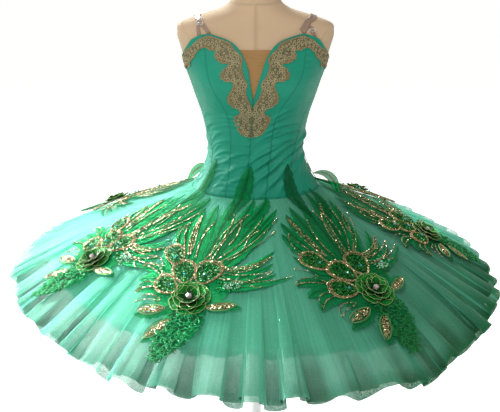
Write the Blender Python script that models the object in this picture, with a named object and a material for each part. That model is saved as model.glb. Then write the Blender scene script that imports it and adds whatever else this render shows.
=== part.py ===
"""A ballet tutu with a drooping net skirt on a limbless dress form with a pole and a round base.

Metres, +Z up. The origin is under the middle of the base and the front faces -Y. Heights in the tables are
counted from the waist. Angles are counted from the front towards +X, in degrees.
"""

import math

import bmesh
import bpy
import numpy as np
from mathutils import Vector

# Stand
WAIST_HEIGHT = 1.04
BASE_RADIUS = 0.200
BASE_THICKNESS = 0.018
BASE_BEVEL = 0.004
POLE_RADIUS = 0.016
COLLAR_RADIUS = 0.032
COLLAR_HEIGHT = 0.030
NECK_CAP_THICKNESS = 0.010
NECK_CAP_OVERHANG = 0.002
JOINT_GAP = 0.0003

# Form: height over the waist, half width, depth in front and depth behind
FORM_SECTIONS = {
    "height": (-0.270, -0.250, -0.200, -0.150, -0.100, -0.050, 0.000, 0.040, 0.090, 0.130,
               0.165, 0.205, 0.240, 0.270, 0.290, 0.305, 0.318, 0.334, 0.360, 0.395),
    "half_width": (0.150, 0.158, 0.166, 0.162, 0.150, 0.122, 0.106, 0.109, 0.119, 0.132,
                   0.143, 0.157, 0.168, 0.174, 0.166, 0.125, 0.082, 0.057, 0.053, 0.053),
    "front": (0.095, 0.102, 0.108, 0.108, 0.104, 0.094, 0.086, 0.089, 0.098, 0.108,
              0.114, 0.108, 0.094, 0.078, 0.066, 0.060, 0.056, 0.052, 0.050, 0.050),
    "back": (0.105, 0.112, 0.122, 0.120, 0.108, 0.088, 0.076, 0.078, 0.088, 0.096,
             0.101, 0.103, 0.100, 0.090, 0.077, 0.068, 0.062, 0.057, 0.054, 0.054),
}
CUP_DEPTH = 0.013
CUP_HEIGHT = 0.165
CUP_ANGLE = 35.5
CUP_SPREAD = 23.0
CUP_HALF_HEIGHT = 0.054
FORM_COLUMNS = 28
FORM_ROWS = 23

# Bodice
CLOTH_LIFT = 0.0034
CLOTH_WALL = 0.0014
SEAM_GAP = 0.0003
BASQUE_HEIGHT = -0.088
BODICE_ROWS = 12
# Top edge: angle from the front and height
TOP_EDGE = {
    "angle": (0, 4, 6, 8, 10.5, 13.3, 17, 22, 28, 34, 40, 46, 52, 60, 66, 72, 82, 95, 110, 140, 180),
    "height": (0.132, 0.180, 0.205, 0.221, 0.235, 0.246, 0.255, 0.261, 0.266, 0.270, 0.268,
               0.263, 0.257, 0.242, 0.234, 0.225, 0.208, 0.196, 0.186, 0.166, 0.150),
}
# How many of those stations run up the side of the V
V_STATIONS = 7
# Upright seams: angle of each at these heights, on the untwisted bodice
SEAM_ANGLES = {
    "height": (-0.090, -0.040, 0.000, 0.050, 0.090, 0.125, 0.155, 0.185, 0.240, 0.270),
    "princess": (18.0, 21.5, 23.5, 23.5, 24.0, 28.0, 33.0, 37.0, 39.0, 39.5),
    "side_front": (42.0, 50.0, 55.0, 60.0, 63.0, 67.0, 71.0, 75.0, 80.0, 82.0),
    "underarm": (92.0, 94.0, 95.0, 96.0, 97.0, 99.0, 101.0, 104.0, 108.0, 110.0),
    "side_back": (140.0, 138.0, 136.0, 136.0, 137.0, 139.0, 141.0, 143.0, 145.0, 146.0),
}
# The bodice sits twisted on the form: turn at each height
TWIST = {"height": (-0.090, 0.000, 0.050, 0.090, 0.130, 0.200), "angle": (-9.5, -7.2, -5.0, -3.8, -2.5, 0.0)}
# Panels: the seams at their two sides and their columns, as shares of the way across
PANELS = {
    "front_centre": ("centre_front", "princess", (0, 0.06, 0.13, 0.21, 0.32, 0.46, 0.63, 0.81, 1)),
    "side_front": ("princess", "side_front", (0, 0.33, 0.67, 1)),
    "side": ("side_front", "underarm", (0, 0.25, 0.5, 0.75, 1)),
    "side_back": ("underarm", "side_back", (0, 0.33, 0.67, 1)),
    "back_centre": ("side_back", "centre_back", (0, 0.33, 0.67, 1)),
}
BINDING_HEIGHT = 0.0026
BINDING_PROUD = 0.0006
INSERT_ROWS = 5
INSERT_COLUMNS = 4
INSERT_LIFT = 0.0006
INSERT_WALL = 0.0010
INSERT_TOP = 0.240
INSERT_FOOT = 0.142
INSERT_TUCK = 1.6
PLACKET_WIDTH = 0.014
PLACKET_WALL = 0.0012

# Gold lace: stations along the trim, each with the edge by the neckline and the far edge
LACE_TRIM = {
    "near_angle": (75, 62, 52, 44, 37, 29, 21, 13.5, 10.5, 8, 6.5, 5, 0.4, 0.4, 0.4),
    "near_height": (0.214, 0.232, 0.246, 0.255, 0.260, 0.256, 0.248, 0.236, 0.218, 0.190, 0.165, 0.140,
                    0.122, 0.090, 0.058),
    "far_angle": (77, 64, 54, 46, 39, 31, 25.5, 24, 22.5, 20, 19, 19, 16.5, 15, 3.5),
    "far_height": (0.202, 0.210, 0.216, 0.231, 0.242, 0.236, 0.219, 0.205, 0.190, 0.174, 0.152, 0.130,
                   0.104, 0.080, 0.050),
}
LACE_LIFT = 0.0013
LACE_WALL = 0.0010
LACE_SCALLOPS = 12
LACE_SCALLOP_DEPTH = 0.0035
LACE_COLUMNS = 36

# Straps: angle and height along each route
STRAP_WIDTH = 0.013
STRAP_LIFT = 0.0009
STRAP_WALL = 0.0012
STRAP_OVER_SHOULDER = {"angle": (90, 128, 146, 152, 155), "height": (0.3045, 0.292, 0.262, 0.215, 0.1705)}
STRAP_ROUTES = {
    "strap_left": (((-45.5, 0.2915), (-58.0, 0.2985)), 16),
    "strap_right": (((34.5, 0.2750), (40.0, 0.2880), (52.0, 0.2970)), 18),
    "strap_left_outer_leg": (((-43.8, 0.2678), (-44.6, 0.2760), (-45.3, 0.2816)), 3),
    "strap_left_inner_leg": (((-34.5, 0.2738), (-38.6, 0.2830), (-42.2, 0.2895)), 4),
    "strap_right_outer_leg": (((45.2, 0.2680), (43.7, 0.2765), (42.5, 0.2810)), 3),
}
STRAP_END_FADE = 0.15
LEG_WIDTH = 0.0060
SLIDER_SIZE = (0.0160, 0.0068, 0.0018)
SLIDER_PLACES = {"slider_left": (-44.6, 0.2890), "slider_right": (44.2, 0.2775)}

# Hip yoke, on which the net is sewn
YOKE_FOOT = -0.185
YOKE_COLUMNS = 32
YOKE_ROWS = 3

# Net layers. The hem outline is that of a layer with the mean hem radius, and the others keep its shape
HEM_OUTLINE = {
    "angle": (-180, -138, -108, -84, -45, -18, 8, 30, 50, 80, 120, 180),
    "radius": (0.584, 0.584, 0.610, 0.586, 0.557, 0.580, 0.590, 0.602, 0.580, 0.568, 0.578, 0.584),
}
MEAN_HEM_RADIUS = 0.580
HEM_ROUNDING = 0.10
NET_WALL = 0.0012
NET_HEAD_LIFT = 0.0057
WAVE_GROWTH = 3.0
# Each layer: head height, hem radius, hem height, waves, wave height, rings and columns in each ring
NET_LAYERS = {
    "overlay_net": (-0.0905, 0.578, -0.299, 44, 0.014, (0, 0.25, 0.5, 0.75, 1), (44, 88, 88, 176, 176)),
    "long_net": (-0.1030, 0.568, -0.305, 44, 0.013, (0, 0.25, 0.5, 0.75, 1), (44, 88, 88, 176, 176)),
    "short_net": (-0.1155, 0.475, -0.2755, 36, 0.009, (0, 0.3, 0.65, 1), (36, 72, 144, 144)),
    "stiff_net": (-0.1280, 0.400, -0.257, 36, 0.006, (0, 0.5, 1), (72, 72, 72)),
}

# Lace appliques on the overlay: place of each rose round the skirt and down it
APPLIQUE_ANGLES = (-61, -18, 34, 86, 137, 188, 240)
APPLIQUE_PLACE = 0.613
APPLIQUE_WALL = 0.0012
APPLIQUE_CLEARANCE = 0.0022
APPLIQUE_RINGS = (0.30, 0.62, 1.0)
# Reach of the applique from its rose in each direction, 0 towards +angle and 90 up the skirt
APPLIQUE_REACH = {
    "direction": tuple(range(0, 360, 15)),
    "reach": (0.070, 0.160, 0.110, 0.155, 0.135, 0.262, 0.175, 0.225, 0.140, 0.140, 0.095, 0.105,
              0.070, 0.110, 0.085, 0.110, 0.075, 0.080, 0.120, 0.105, 0.055, 0.050, 0.048, 0.060),
}
# Raised feather eyes: place beside and above the rose, and half width
EYES = {
    "across": (-0.070, -0.034, 0.012, -0.060),
    "up": (0.098, 0.061, 0.070, 0.020),
    "size": (0.018, 0.018, 0.018, 0.016),
}
EYE_HEIGHT = 0.0035
ROSE_RADIUS = 0.036
ROSE_HEIGHT = 0.018
ROSE_PETALS = 5
ROSE_COLUMNS = 15

COLOURS = {
    "form_linen": ((0.66, 0.60, 0.48), 0.9, 0.0),
    "stand_metal": ((0.58, 0.58, 0.59), 0.35, 1.0),
    "cap_wood": ((0.45, 0.30, 0.18), 0.5, 0.0),
    "bodice_satin": ((0.05, 0.42, 0.28), 0.45, 0.0),
    "nude_mesh": ((0.55, 0.35, 0.18), 0.8, 0.0),
    "gold_lace": ((0.55, 0.42, 0.20), 0.5, 0.3),
    "strap_satin": ((0.62, 0.50, 0.46), 0.4, 0.0),
    "slider_metal": ((0.80, 0.80, 0.82), 0.2, 1.0),
    "long_net": ((0.20, 0.65, 0.50), 0.8, 0.0),
    "short_net": ((0.10, 0.50, 0.38), 0.8, 0.0),
    "applique_lace": ((0.02, 0.20, 0.08), 0.6, 0.0),
    "rose_organza": ((0.01, 0.14, 0.06), 0.5, 0.0),
}


def smooth(stations, values, at):
    """A smooth curve through a table, flat past its ends."""
    stations = np.asarray(stations, float)
    values = np.asarray(values, float)
    at = min(max(at, stations[0]), stations[-1])
    slopes = np.gradient(values, stations)
    i = min(int(np.searchsorted(stations, at, side="right")) - 1, len(stations) - 2)
    width = stations[i + 1] - stations[i]
    s = (at - stations[i]) / width
    return float(
        values[i] * (1 + 2 * s) * (1 - s) ** 2
        + values[i + 1] * s * s * (3 - 2 * s)
        + width * slopes[i] * s * (1 - s) ** 2
        + width * slopes[i + 1] * s * s * (s - 1)
    )


def form_skin(angle, height):
    """A point on the form's skin."""
    turn = math.radians(angle)
    table = FORM_SECTIONS
    width = smooth(table["height"], table["half_width"], height)
    depth = smooth(table["height"], table["front" if math.cos(turn) > 0 else "back"], height)
    beside = (abs((angle + 180) % 360 - 180) - CUP_ANGLE) / CUP_SPREAD
    above = (height - CUP_HEIGHT) / CUP_HALF_HEIGHT
    cup = CUP_DEPTH * math.exp(-beside * beside - above * above)
    return Vector((
        (width + cup) * math.sin(turn),
        -(depth + cup) * math.cos(turn),
        WAIST_HEIGHT + height,
    ))


def form_normal(angle, height):
    step_angle, step_height = 0.5, 0.001
    across = form_skin(angle + step_angle, height) - form_skin(angle - step_angle, height)
    up = form_skin(angle, height + step_height) - form_skin(angle, height - step_height)
    return across.cross(up).normalized()


def on_form(angle, height, lift):
    return form_skin(angle, height) + form_normal(angle, height) * lift


def twist(height):
    return smooth(TWIST["height"], TWIST["angle"], height)


def seam(name, height):
    if name == "centre_front":
        return 0.0
    if name == "centre_back":
        return 180.0
    return smooth(SEAM_ANGLES["height"], SEAM_ANGLES[name], height)


def top_height(angle):
    return float(np.interp(abs(angle), TOP_EDGE["angle"], TOP_EDGE["height"]))


def material(slot):
    found = bpy.data.materials.get(slot)
    if found:
        return found
    colour, roughness, metallic = COLOURS[slot]
    made = bpy.data.materials.new(slot)
    made.use_nodes = True
    shader = made.node_tree.nodes["Principled BSDF"]
    shader.inputs["Base Color"].default_value = (*colour, 1)
    shader.inputs["Roughness"].default_value = roughness
    shader.inputs["Metallic"].default_value = metallic
    return made


def add_object(name, slot, mesh_builder):
    """One named object from a bmesh, with its faces turned outwards."""
    mesh_builder.normal_update()
    bmesh.ops.recalc_face_normals(mesh_builder, faces=mesh_builder.faces)
    mesh = bpy.data.meshes.new(name)
    mesh_builder.to_mesh(mesh)
    mesh_builder.free()
    mesh.shade_smooth()
    mesh.set_sharp_from_angle(angle=math.radians(40))
    made = bpy.data.objects.new(name, mesh)
    made.data.materials.append(material(slot))
    bpy.context.scene.collection.objects.link(made)
    return made


def band(builder, near, far, closed, rising=False):
    """Triangles between two rows of points, where far has as many columns as near or twice as many.

    rising turns the diagonals, for rows that climb steeply from column to column.
    """
    steps = len(near) if closed else len(near) - 1
    if closed:
        doubled = len(far) == 2 * len(near)
    else:
        doubled = len(far) == 2 * len(near) - 1
    for i in range(steps):
        a, b = near[i], near[(i + 1) % len(near)]
        if doubled:
            c, d, e = (far[(2 * i + k) % len(far)] for k in range(3))
            builder.faces.new((a, c, d))
            builder.faces.new((a, d, b))
            builder.faces.new((b, d, e))
        else:
            c, d = far[i], far[(i + 1) % len(far)]
            builder.faces.new((a, c, b) if rising else (a, c, d))
            builder.faces.new((b, c, d) if rising else (a, d, b))


def wall(name, slot, outer_rows, inner_rows, closed=False, rising=False):
    """A closed wall between two skins given as matching rows of points."""
    builder = bmesh.new()
    skins = []
    for rows in (outer_rows, inner_rows):
        skins.append([[builder.verts.new(point) for point in row] for row in rows])
    for rows in skins:
        for near, far in zip(rows, rows[1:]):
            band(builder, near, far, closed, rising)
    outer, inner = skins
    band(builder, outer[0], inner[0], closed)
    band(builder, outer[-1], inner[-1], closed)
    if not closed:
        for side in (0, -1):
            band(builder, [row[side] for row in outer], [row[side] for row in inner], False)
    return add_object(name, slot, builder)


def turned(name, slot, profile, columns):
    """A solid turned round the Z axis from (radius, height) points, bottom to top."""
    builder = bmesh.new()
    rings = []
    for radius, height in profile:
        ring = []
        for i in range(columns):
            turn = 2 * math.pi * i / columns
            ring.append(builder.verts.new((radius * math.sin(turn), -radius * math.cos(turn), height)))
        rings.append(ring)
    for near, far in zip(rings, rings[1:]):
        band(builder, near, far, True)
    builder.faces.new(rings[0])
    builder.faces.new(rings[-1])
    return add_object(name, slot, builder)


def make_form():
    bottom = FORM_SECTIONS["height"][0]
    top = FORM_SECTIONS["height"][-1]
    builder = bmesh.new()
    rings = []
    for row in range(FORM_ROWS + 1):
        share = row / FORM_ROWS
        height = bottom + (top - bottom) * (share + 0.045 * math.sin(2 * math.pi * share))
        rings.append([
            builder.verts.new(form_skin(360 * i / FORM_COLUMNS, height)) for i in range(FORM_COLUMNS)
        ])
    for near, far in zip(rings, rings[1:]):
        band(builder, near, far, True)
    builder.faces.new(rings[0])
    builder.faces.new(rings[-1])
    add_object("form_torso", "form_linen", builder)


def make_stand():
    foot = WAIST_HEIGHT + FORM_SECTIONS["height"][0]
    neck_top = WAIST_HEIGHT + FORM_SECTIONS["height"][-1]
    neck_radius = FORM_SECTIONS["half_width"][-1] + NECK_CAP_OVERHANG
    cap_foot = neck_top + JOINT_GAP
    cap_top = cap_foot + NECK_CAP_THICKNESS
    turned("neck_cap", "cap_wood", (
        (neck_radius, cap_foot),
        (neck_radius, cap_top - BASE_BEVEL),
        (neck_radius - BASE_BEVEL, cap_top),
    ), FORM_COLUMNS)
    turned("stand_base", "stand_metal", (
        (BASE_RADIUS, 0),
        (BASE_RADIUS, BASE_THICKNESS - BASE_BEVEL),
        (BASE_RADIUS - BASE_BEVEL, BASE_THICKNESS),
    ), 40)
    collar_foot = BASE_THICKNESS + JOINT_GAP
    turned("stand_pole", "stand_metal", (
        (COLLAR_RADIUS, collar_foot),
        (COLLAR_RADIUS, collar_foot + COLLAR_HEIGHT - BASE_BEVEL),
        (COLLAR_RADIUS - BASE_BEVEL, collar_foot + COLLAR_HEIGHT),
        (POLE_RADIUS, collar_foot + COLLAR_HEIGHT),
        (POLE_RADIUS, foot - JOINT_GAP),
    ), 24)


def column_top(left, right, share):
    """Height at which a panel's column meets the top edge."""
    height = TOP_EDGE["height"][0]
    for _ in range(40):
        angle = seam(left, height) * (1 - share) + seam(right, height) * share
        height += 0.5 * (top_height(angle) - height)
    return height


def panel_grid(left, right, shares, side):
    """Angles and heights of a panel's points, rows from the basque seam up."""
    tops = [column_top(left, right, share) for share in shares]
    grid = []
    for row in range(BODICE_ROWS + 1):
        line = []
        for share, top in zip(shares, tops):
            height = BASQUE_HEIGHT + (top - BASQUE_HEIGHT) * row / BODICE_ROWS
            start, end = seam(left, height), seam(right, height)
            inset = math.degrees(0.5 * SEAM_GAP / form_skin(start, height).xy.length)
            angle = (start + inset) * (1 - share) + (end - inset) * share
            line.append((side * angle + twist(height), height))
        grid.append(line)
    return grid


def make_bodice():
    """The ten panels. Returns the points of the top edge on each side, front to back."""
    edges = {}
    for side, word in ((-1, "left"), (1, "right")):
        edge = []
        for name, (left, right, shares) in PANELS.items():
            grid = panel_grid(left, right, shares, side)
            outer = [[on_form(a, h, CLOTH_LIFT + CLOTH_WALL) for a, h in row] for row in grid]
            inner = [[on_form(a, h, CLOTH_LIFT) for a, h in row] for row in grid]
            wall(f"bodice_{name}_{word}", "bodice_satin", outer, inner, rising=name == "front_centre")
            edge += grid[-1][1:]
        edges[word] = edge
    return edges


def make_binding(edge, word):
    """The narrow strip that sits on the top edge."""
    rows = []
    foot = SEAM_GAP
    for lift, rise in (
        (CLOTH_LIFT - BINDING_PROUD / 2, foot),
        (CLOTH_LIFT + CLOTH_WALL + BINDING_PROUD, foot),
        (CLOTH_LIFT + CLOTH_WALL + BINDING_PROUD, foot + BINDING_HEIGHT),
        (CLOTH_LIFT - BINDING_PROUD / 2, foot + BINDING_HEIGHT),
    ):
        row = []
        for i, (angle, height) in enumerate(edge):
            before, after = edge[max(i - 1, 0)], edge[min(i + 1, len(edge) - 1)]
            along = on_form(*after, 0) - on_form(*before, 0)
            out = form_normal(angle, height)
            up = out.cross(along).normalized()
            if up.z < 0:
                up = -up
            if i == len(edge) - 1:
                up = Vector((0, 0, 1))
            row.append(on_form(angle, height, lift) + up * rise)
        rows.append(row)
    wall(f"binding_{word}", "bodice_satin", (rows[1], rows[2]), (rows[0], rows[3]))


def make_insert():
    """The nude panel behind the V."""
    outer, inner = [], []
    for row in range(INSERT_ROWS + 1):
        height = INSERT_FOOT + (INSERT_TOP - INSERT_FOOT) * row / INSERT_ROWS
        edge_angle = float(np.interp(height, TOP_EDGE["height"][:V_STATIONS], TOP_EDGE["angle"][:V_STATIONS]))
        half = edge_angle + INSERT_TUCK
        angles = [twist(height) + half * (2 * i / INSERT_COLUMNS - 1) for i in range(INSERT_COLUMNS + 1)]
        inner.append([on_form(a, height, INSERT_LIFT) for a in angles])
        outer.append([on_form(a, height, INSERT_LIFT + INSERT_WALL) for a in angles])
    wall("neckline_insert", "nude_mesh", outer, inner)


def make_placket():
    """The hook-and-eye strip over the centre back opening."""
    outer, inner = [], []
    top = TOP_EDGE["height"][-1] - 0.002
    lift = CLOTH_LIFT + CLOTH_WALL + 2 * SEAM_GAP
    for row in range(BODICE_ROWS + 1):
        height = BASQUE_HEIGHT + 0.004 + (top - BASQUE_HEIGHT - 0.004) * row / BODICE_ROWS
        half = math.degrees(0.5 * PLACKET_WIDTH / form_skin(180, height).xy.length)
        angles = [180 + twist(height) + side * half for side in (-1, 1)]
        inner.append([on_form(a, height, lift) for a in angles])
        outer.append([on_form(a, height, lift + PLACKET_WALL) for a in angles])
    wall("back_placket", "bodice_satin", outer, inner)


def make_lace_trim(side, word):
    """Scalloped trim along the neckline and down to a point under the V."""
    table = LACE_TRIM
    stations = np.linspace(0, 1, len(table["near_angle"]))
    lift = CLOTH_LIFT + CLOTH_WALL + LACE_LIFT
    outer, inner = ([], [], []), ([], [], [])
    for i in range(LACE_COLUMNS + 1):
        share = i / LACE_COLUMNS
        ends = [
            (smooth(stations, table[f"{edge}_angle"], share), smooth(stations, table[f"{edge}_height"], share))
            for edge in ("near", "far")
        ]
        (near_angle, near_height), (far_angle, far_height) = ends
        near_point, far_point = form_skin(near_angle, near_height), form_skin(far_angle, far_height)
        width = (far_point - near_point).length
        fade = min(1.0, 8 * share, 8 * (1 - share))
        reach = 1 + fade * LACE_SCALLOP_DEPTH * math.cos(2 * math.pi * LACE_SCALLOPS * share) / width
        for row, part in enumerate((0.0, 0.5, 1.0)):
            across = part * reach
            angle = near_angle + (far_angle - near_angle) * across
            height = near_height + (far_height - near_height) * across
            turned_angle = side * angle + twist(height)
            inner[row].append(on_form(turned_angle, height, lift))
            outer[row].append(on_form(turned_angle, height, lift + LACE_WALL))
    wall(f"lace_trim_{word}", "gold_lace", outer, inner)


def strip(name, slot, route, columns, width, raised_ends):
    """A flat strip that follows a route of (angle, height) points over the form.

    raised_ends says of its first and last end whether it lifts off the form to meet the binding.
    """
    stations = np.linspace(0, 1, len(route))
    places = []
    for i in range(columns + 1):
        share = i / columns
        places.append(tuple(smooth(stations, [point[k] for point in route], share) for k in (0, 1)))
    rows = {(side, level): [] for side in (-1, 1) for level in (0, 1)}
    for i, (angle, height) in enumerate(places):
        before, after = places[max(i - 1, 0)], places[min(i + 1, columns)]
        along = form_skin(*after) - form_skin(*before)
        out = form_normal(angle, height)
        beside = along.cross(out).normalized()
        lift = STRAP_LIFT
        for raised, share in zip(raised_ends, (i / columns, 1 - i / columns)):
            lift += raised * (CLOTH_LIFT - STRAP_LIFT) * max(0.0, 1 - share / STRAP_END_FADE)
        for side, level in rows:
            point = form_skin(angle, height) + beside * (side * width / 2)
            rows[side, level].append(point + out * (lift + level * STRAP_WALL))
    wall(name, slot, (rows[-1, 1], rows[1, 1]), (rows[-1, 0], rows[1, 0]))


def make_straps():
    over = tuple(zip(STRAP_OVER_SHOULDER["angle"], STRAP_OVER_SHOULDER["height"]))
    for name, (route, columns) in STRAP_ROUTES.items():
        leg = name.endswith("leg")
        side = -1 if "left" in name else 1
        whole = route if leg else route + tuple((side * angle, height) for angle, height in over)
        width = LEG_WIDTH if leg else STRAP_WIDTH
        raised_ends = (name != "strap_left", not leg)
        strip(name, "strap_satin", whole, columns, width, raised_ends)
    for name, (angle, height) in SLIDER_PLACES.items():
        out = form_normal(angle, height)
        across = Vector((0, 0, 1)).cross(out).normalized()
        up = out.cross(across)
        length, breadth, thickness = SLIDER_SIZE
        middle = on_form(angle, height, STRAP_LIFT + STRAP_WALL + 3 * SEAM_GAP + thickness / 2)
        rows = []
        for level in (1, -1):
            rows.append([
                [middle + across * (i * length / 2) + up * (j * breadth / 2) + out * (level * thickness / 2)
                 for i in (-1, 1)]
                for j in (-1, 1)
            ])
        wall(name, "slider_metal", rows[0], rows[1])


def make_yoke():
    outer, inner = [], []
    top = BASQUE_HEIGHT - SEAM_GAP
    for row in range(YOKE_ROWS + 1):
        height = top + (YOKE_FOOT - top) * row / YOKE_ROWS
        angles = [360 * i / YOKE_COLUMNS for i in range(YOKE_COLUMNS)]
        inner.append([on_form(a, height, CLOTH_LIFT) for a in angles])
        outer.append([on_form(a, height, CLOTH_LIFT + CLOTH_WALL) for a in angles])
    wall("hip_yoke", "bodice_satin", outer, inner, closed=True)


def hem_radius(angle, radius):
    wrapped = (angle + 180) % 360 - 180
    outline = smooth(HEM_OUTLINE["angle"], HEM_OUTLINE["radius"], wrapped)
    return outline * radius / MEAN_HEM_RADIUS


def net_point(layer, angle, share, lift=0.0, waves=True):
    """A point on a net layer, share of the way from its head to its hem."""
    head_height, radius, hem_height, count, wave_height, _, _ = NET_LAYERS[layer]
    turn = math.radians(angle)
    out = Vector((math.sin(turn), -math.cos(turn), 0))
    head = on_form(angle, head_height, NET_HEAD_LIFT)
    hem = out * hem_radius(angle, radius) + Vector((0, 0, WAIST_HEIGHT + hem_height))
    fall = (1 - HEM_ROUNDING) * share + HEM_ROUNDING * share**4
    point = head.lerp(hem, share)
    point.z = head.z + (hem.z - head.z) * fall
    steepness = (1 - HEM_ROUNDING) + 4 * HEM_ROUNDING * share**3
    down = (head.z - hem.z) * steepness
    normal = (out * down + Vector((0, 0, (hem - head).xy.length))).normalized()
    wave = 0.0
    if waves:
        wave = wave_height * share**WAVE_GROWTH * math.cos(count * turn + math.pi / 4)
    return point + normal * (wave + lift)


def make_net_layer(name, slot):
    _, _, _, _, _, shares, columns = NET_LAYERS[name]
    outer, inner = [], []
    for share, count in zip(shares, columns):
        angles = [360 * i / count for i in range(count)]
        outer.append([net_point(name, a, share, NET_WALL / 2) for a in angles])
        inner.append([net_point(name, a, share, -NET_WALL / 2) for a in angles])
    wall(name, slot, outer, inner, closed=True)


def overlay_length():
    head_height, radius, hem_height = NET_LAYERS["overlay_net"][:3]
    return math.hypot(radius - form_skin(90, head_height).x, hem_height - head_height)


def eye_relief(across, up):
    relief = 0.0
    for x, y, size in zip(EYES["across"], EYES["up"], EYES["size"]):
        relief += EYE_HEIGHT * math.exp(-((across - x) ** 2 + (up - y) ** 2) / size**2)
    return relief


def applique_point(middle_angle, across, up, lift):
    """A point over the overlay's crests, placed from the rose: across towards +angle and up the skirt."""
    share = max(0.02, APPLIQUE_PLACE - up / overlay_length())
    radius = net_point("overlay_net", middle_angle, share, waves=False).xy.length
    angle = middle_angle + math.degrees(across / radius)
    crest = NET_LAYERS["overlay_net"][4] * share**WAVE_GROWTH
    return net_point("overlay_net", angle, share, NET_WALL / 2 + crest + APPLIQUE_CLEARANCE + lift, waves=False)


def make_applique(index, middle_angle):
    """The lace backing with its raised eyes, as a fan of points round the rose."""
    builder = bmesh.new()
    directions = APPLIQUE_REACH["direction"]
    skins = []
    for level in (0, 1):
        lift = level * APPLIQUE_WALL
        centre = builder.verts.new(applique_point(middle_angle, 0, 0, lift))
        rings = []
        for ring in APPLIQUE_RINGS:
            row = []
            for direction, reach in zip(directions, APPLIQUE_REACH["reach"]):
                turn = math.radians(direction)
                across, up = ring * reach * math.cos(turn), ring * reach * math.sin(turn)
                raised = lift + (eye_relief(across, up) if level and ring < 1 else 0)
                row.append(builder.verts.new(applique_point(middle_angle, across, up, raised)))
            rings.append(row)
        for i in range(len(directions)):
            builder.faces.new((centre, rings[0][i], rings[0][(i + 1) % len(directions)]))
        for near, far in zip(rings, rings[1:]):
            band(builder, near, far, True)
        skins.append(rings[-1])
    band(builder, skins[0], skins[1], True)
    add_object(f"applique_{index}", "applique_lace", builder)


def make_rose(index, middle_angle):
    """A low rose of five petals round a raised heart."""
    builder = bmesh.new()
    foot_lift = APPLIQUE_WALL + EYE_HEIGHT / 4 + SEAM_GAP
    heart = builder.verts.new(applique_point(middle_angle, 0, 0, foot_lift + ROSE_HEIGHT))
    under = builder.verts.new(applique_point(middle_angle, 0, 0, foot_lift))
    rings = []
    for radius_share, height_share in ((0.42, 0.62), (0.75, 0.80), (1.0, 0.38), (0.8, 0.0)):
        row = []
        for i in range(ROSE_COLUMNS):
            turn = 2 * math.pi * i / ROSE_COLUMNS
            petal = 1 + 0.12 * math.cos(ROSE_PETALS * turn) * radius_share
            radius = ROSE_RADIUS * radius_share * petal
            lift = foot_lift + ROSE_HEIGHT * height_share
            row.append(builder.verts.new(
                applique_point(middle_angle, radius * math.cos(turn), radius * math.sin(turn), lift)
            ))
        rings.append(row)
    for i in range(ROSE_COLUMNS):
        j = (i + 1) % ROSE_COLUMNS
        builder.faces.new((heart, rings[0][i], rings[0][j]))
        builder.faces.new((under, rings[-1][j], rings[-1][i]))
    for near, far in zip(rings, rings[1:]):
        band(builder, near, far, True)
    add_object(f"rose_{index}", "rose_organza", builder)


def main():
    for old in list(bpy.data.objects):
        bpy.data.objects.remove(old)
    make_form()
    make_stand()
    edges = make_bodice()
    make_insert()
    make_placket()
    for side, word in ((-1, "left"), (1, "right")):
        make_binding(edges[word], word)
        make_lace_trim(side, word)
    make_straps()
    make_yoke()
    for name in NET_LAYERS:
        make_net_layer(name, "long_net" if name in ("overlay_net", "long_net") else "short_net")
    for index, angle in enumerate(APPLIQUE_ANGLES, 1):
        make_applique(index, angle)
        make_rose(index, angle)


main()
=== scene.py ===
"""The looks of a ballet tutu with a drooping net skirt, worn by a limbless dress form.

Metres, +Z up. The front faces -Y. Heights in the tables are counted from the waist, and angles from the front
towards +X, in degrees.
"""

import math

import bpy
import numpy as np
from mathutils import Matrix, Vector


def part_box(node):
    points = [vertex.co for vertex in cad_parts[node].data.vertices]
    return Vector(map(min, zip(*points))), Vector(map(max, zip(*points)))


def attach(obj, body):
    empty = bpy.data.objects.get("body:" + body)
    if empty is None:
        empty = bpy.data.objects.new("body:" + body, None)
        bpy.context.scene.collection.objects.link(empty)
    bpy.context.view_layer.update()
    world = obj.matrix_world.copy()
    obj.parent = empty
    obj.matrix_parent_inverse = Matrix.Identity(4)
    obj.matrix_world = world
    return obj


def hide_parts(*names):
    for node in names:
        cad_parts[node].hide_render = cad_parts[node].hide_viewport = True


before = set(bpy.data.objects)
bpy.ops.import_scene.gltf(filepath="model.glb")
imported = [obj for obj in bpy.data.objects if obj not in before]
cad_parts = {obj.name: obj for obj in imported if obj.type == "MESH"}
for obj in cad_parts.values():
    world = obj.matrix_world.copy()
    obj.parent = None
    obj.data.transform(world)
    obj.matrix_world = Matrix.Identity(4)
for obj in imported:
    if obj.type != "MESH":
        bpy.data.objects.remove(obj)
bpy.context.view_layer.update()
UP, FRONT, RIGHT = np.array([0.0, 0.0, 1.0]), np.array([0.0, -1.0, 0.0]), np.array([1.0, 0.0, 0.0])

WAIST_HEIGHT = 1.04
# Camera: width and middle of the photograph and focal length, in pixels
PHOTO_WIDTH = 500
PHOTO_MIDDLE = 255.5
FOCAL_LENGTH = 760
SENSOR_WIDTH = 36
CAMERA_PLACE = (0, -1.72, WAIST_HEIGHT + 0.473)
CAMERA_TILT = 19.7
# Lights: name, place, what it points at, size, power, colour and spread
LIGHTS = (
    ("Key", (-1.1, 2.0, 2.7), (0, 0, WAIST_HEIGHT), 1.2, 122, (0.92, 1.0, 0.98), 180),
    ("Window", (-2.2, 0.8, 1.25), (-0.46, -0.12, 0.78), 0.6, 4.5, (0.90, 1.0, 0.97), 18),
    ("Fill", (-0.8, -2.1, 3.3), (0, 0, WAIST_HEIGHT), 1.2, 42, (1.0, 0.98, 0.91), 180),
)
FLOOR_HALF = 30.0

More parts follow.
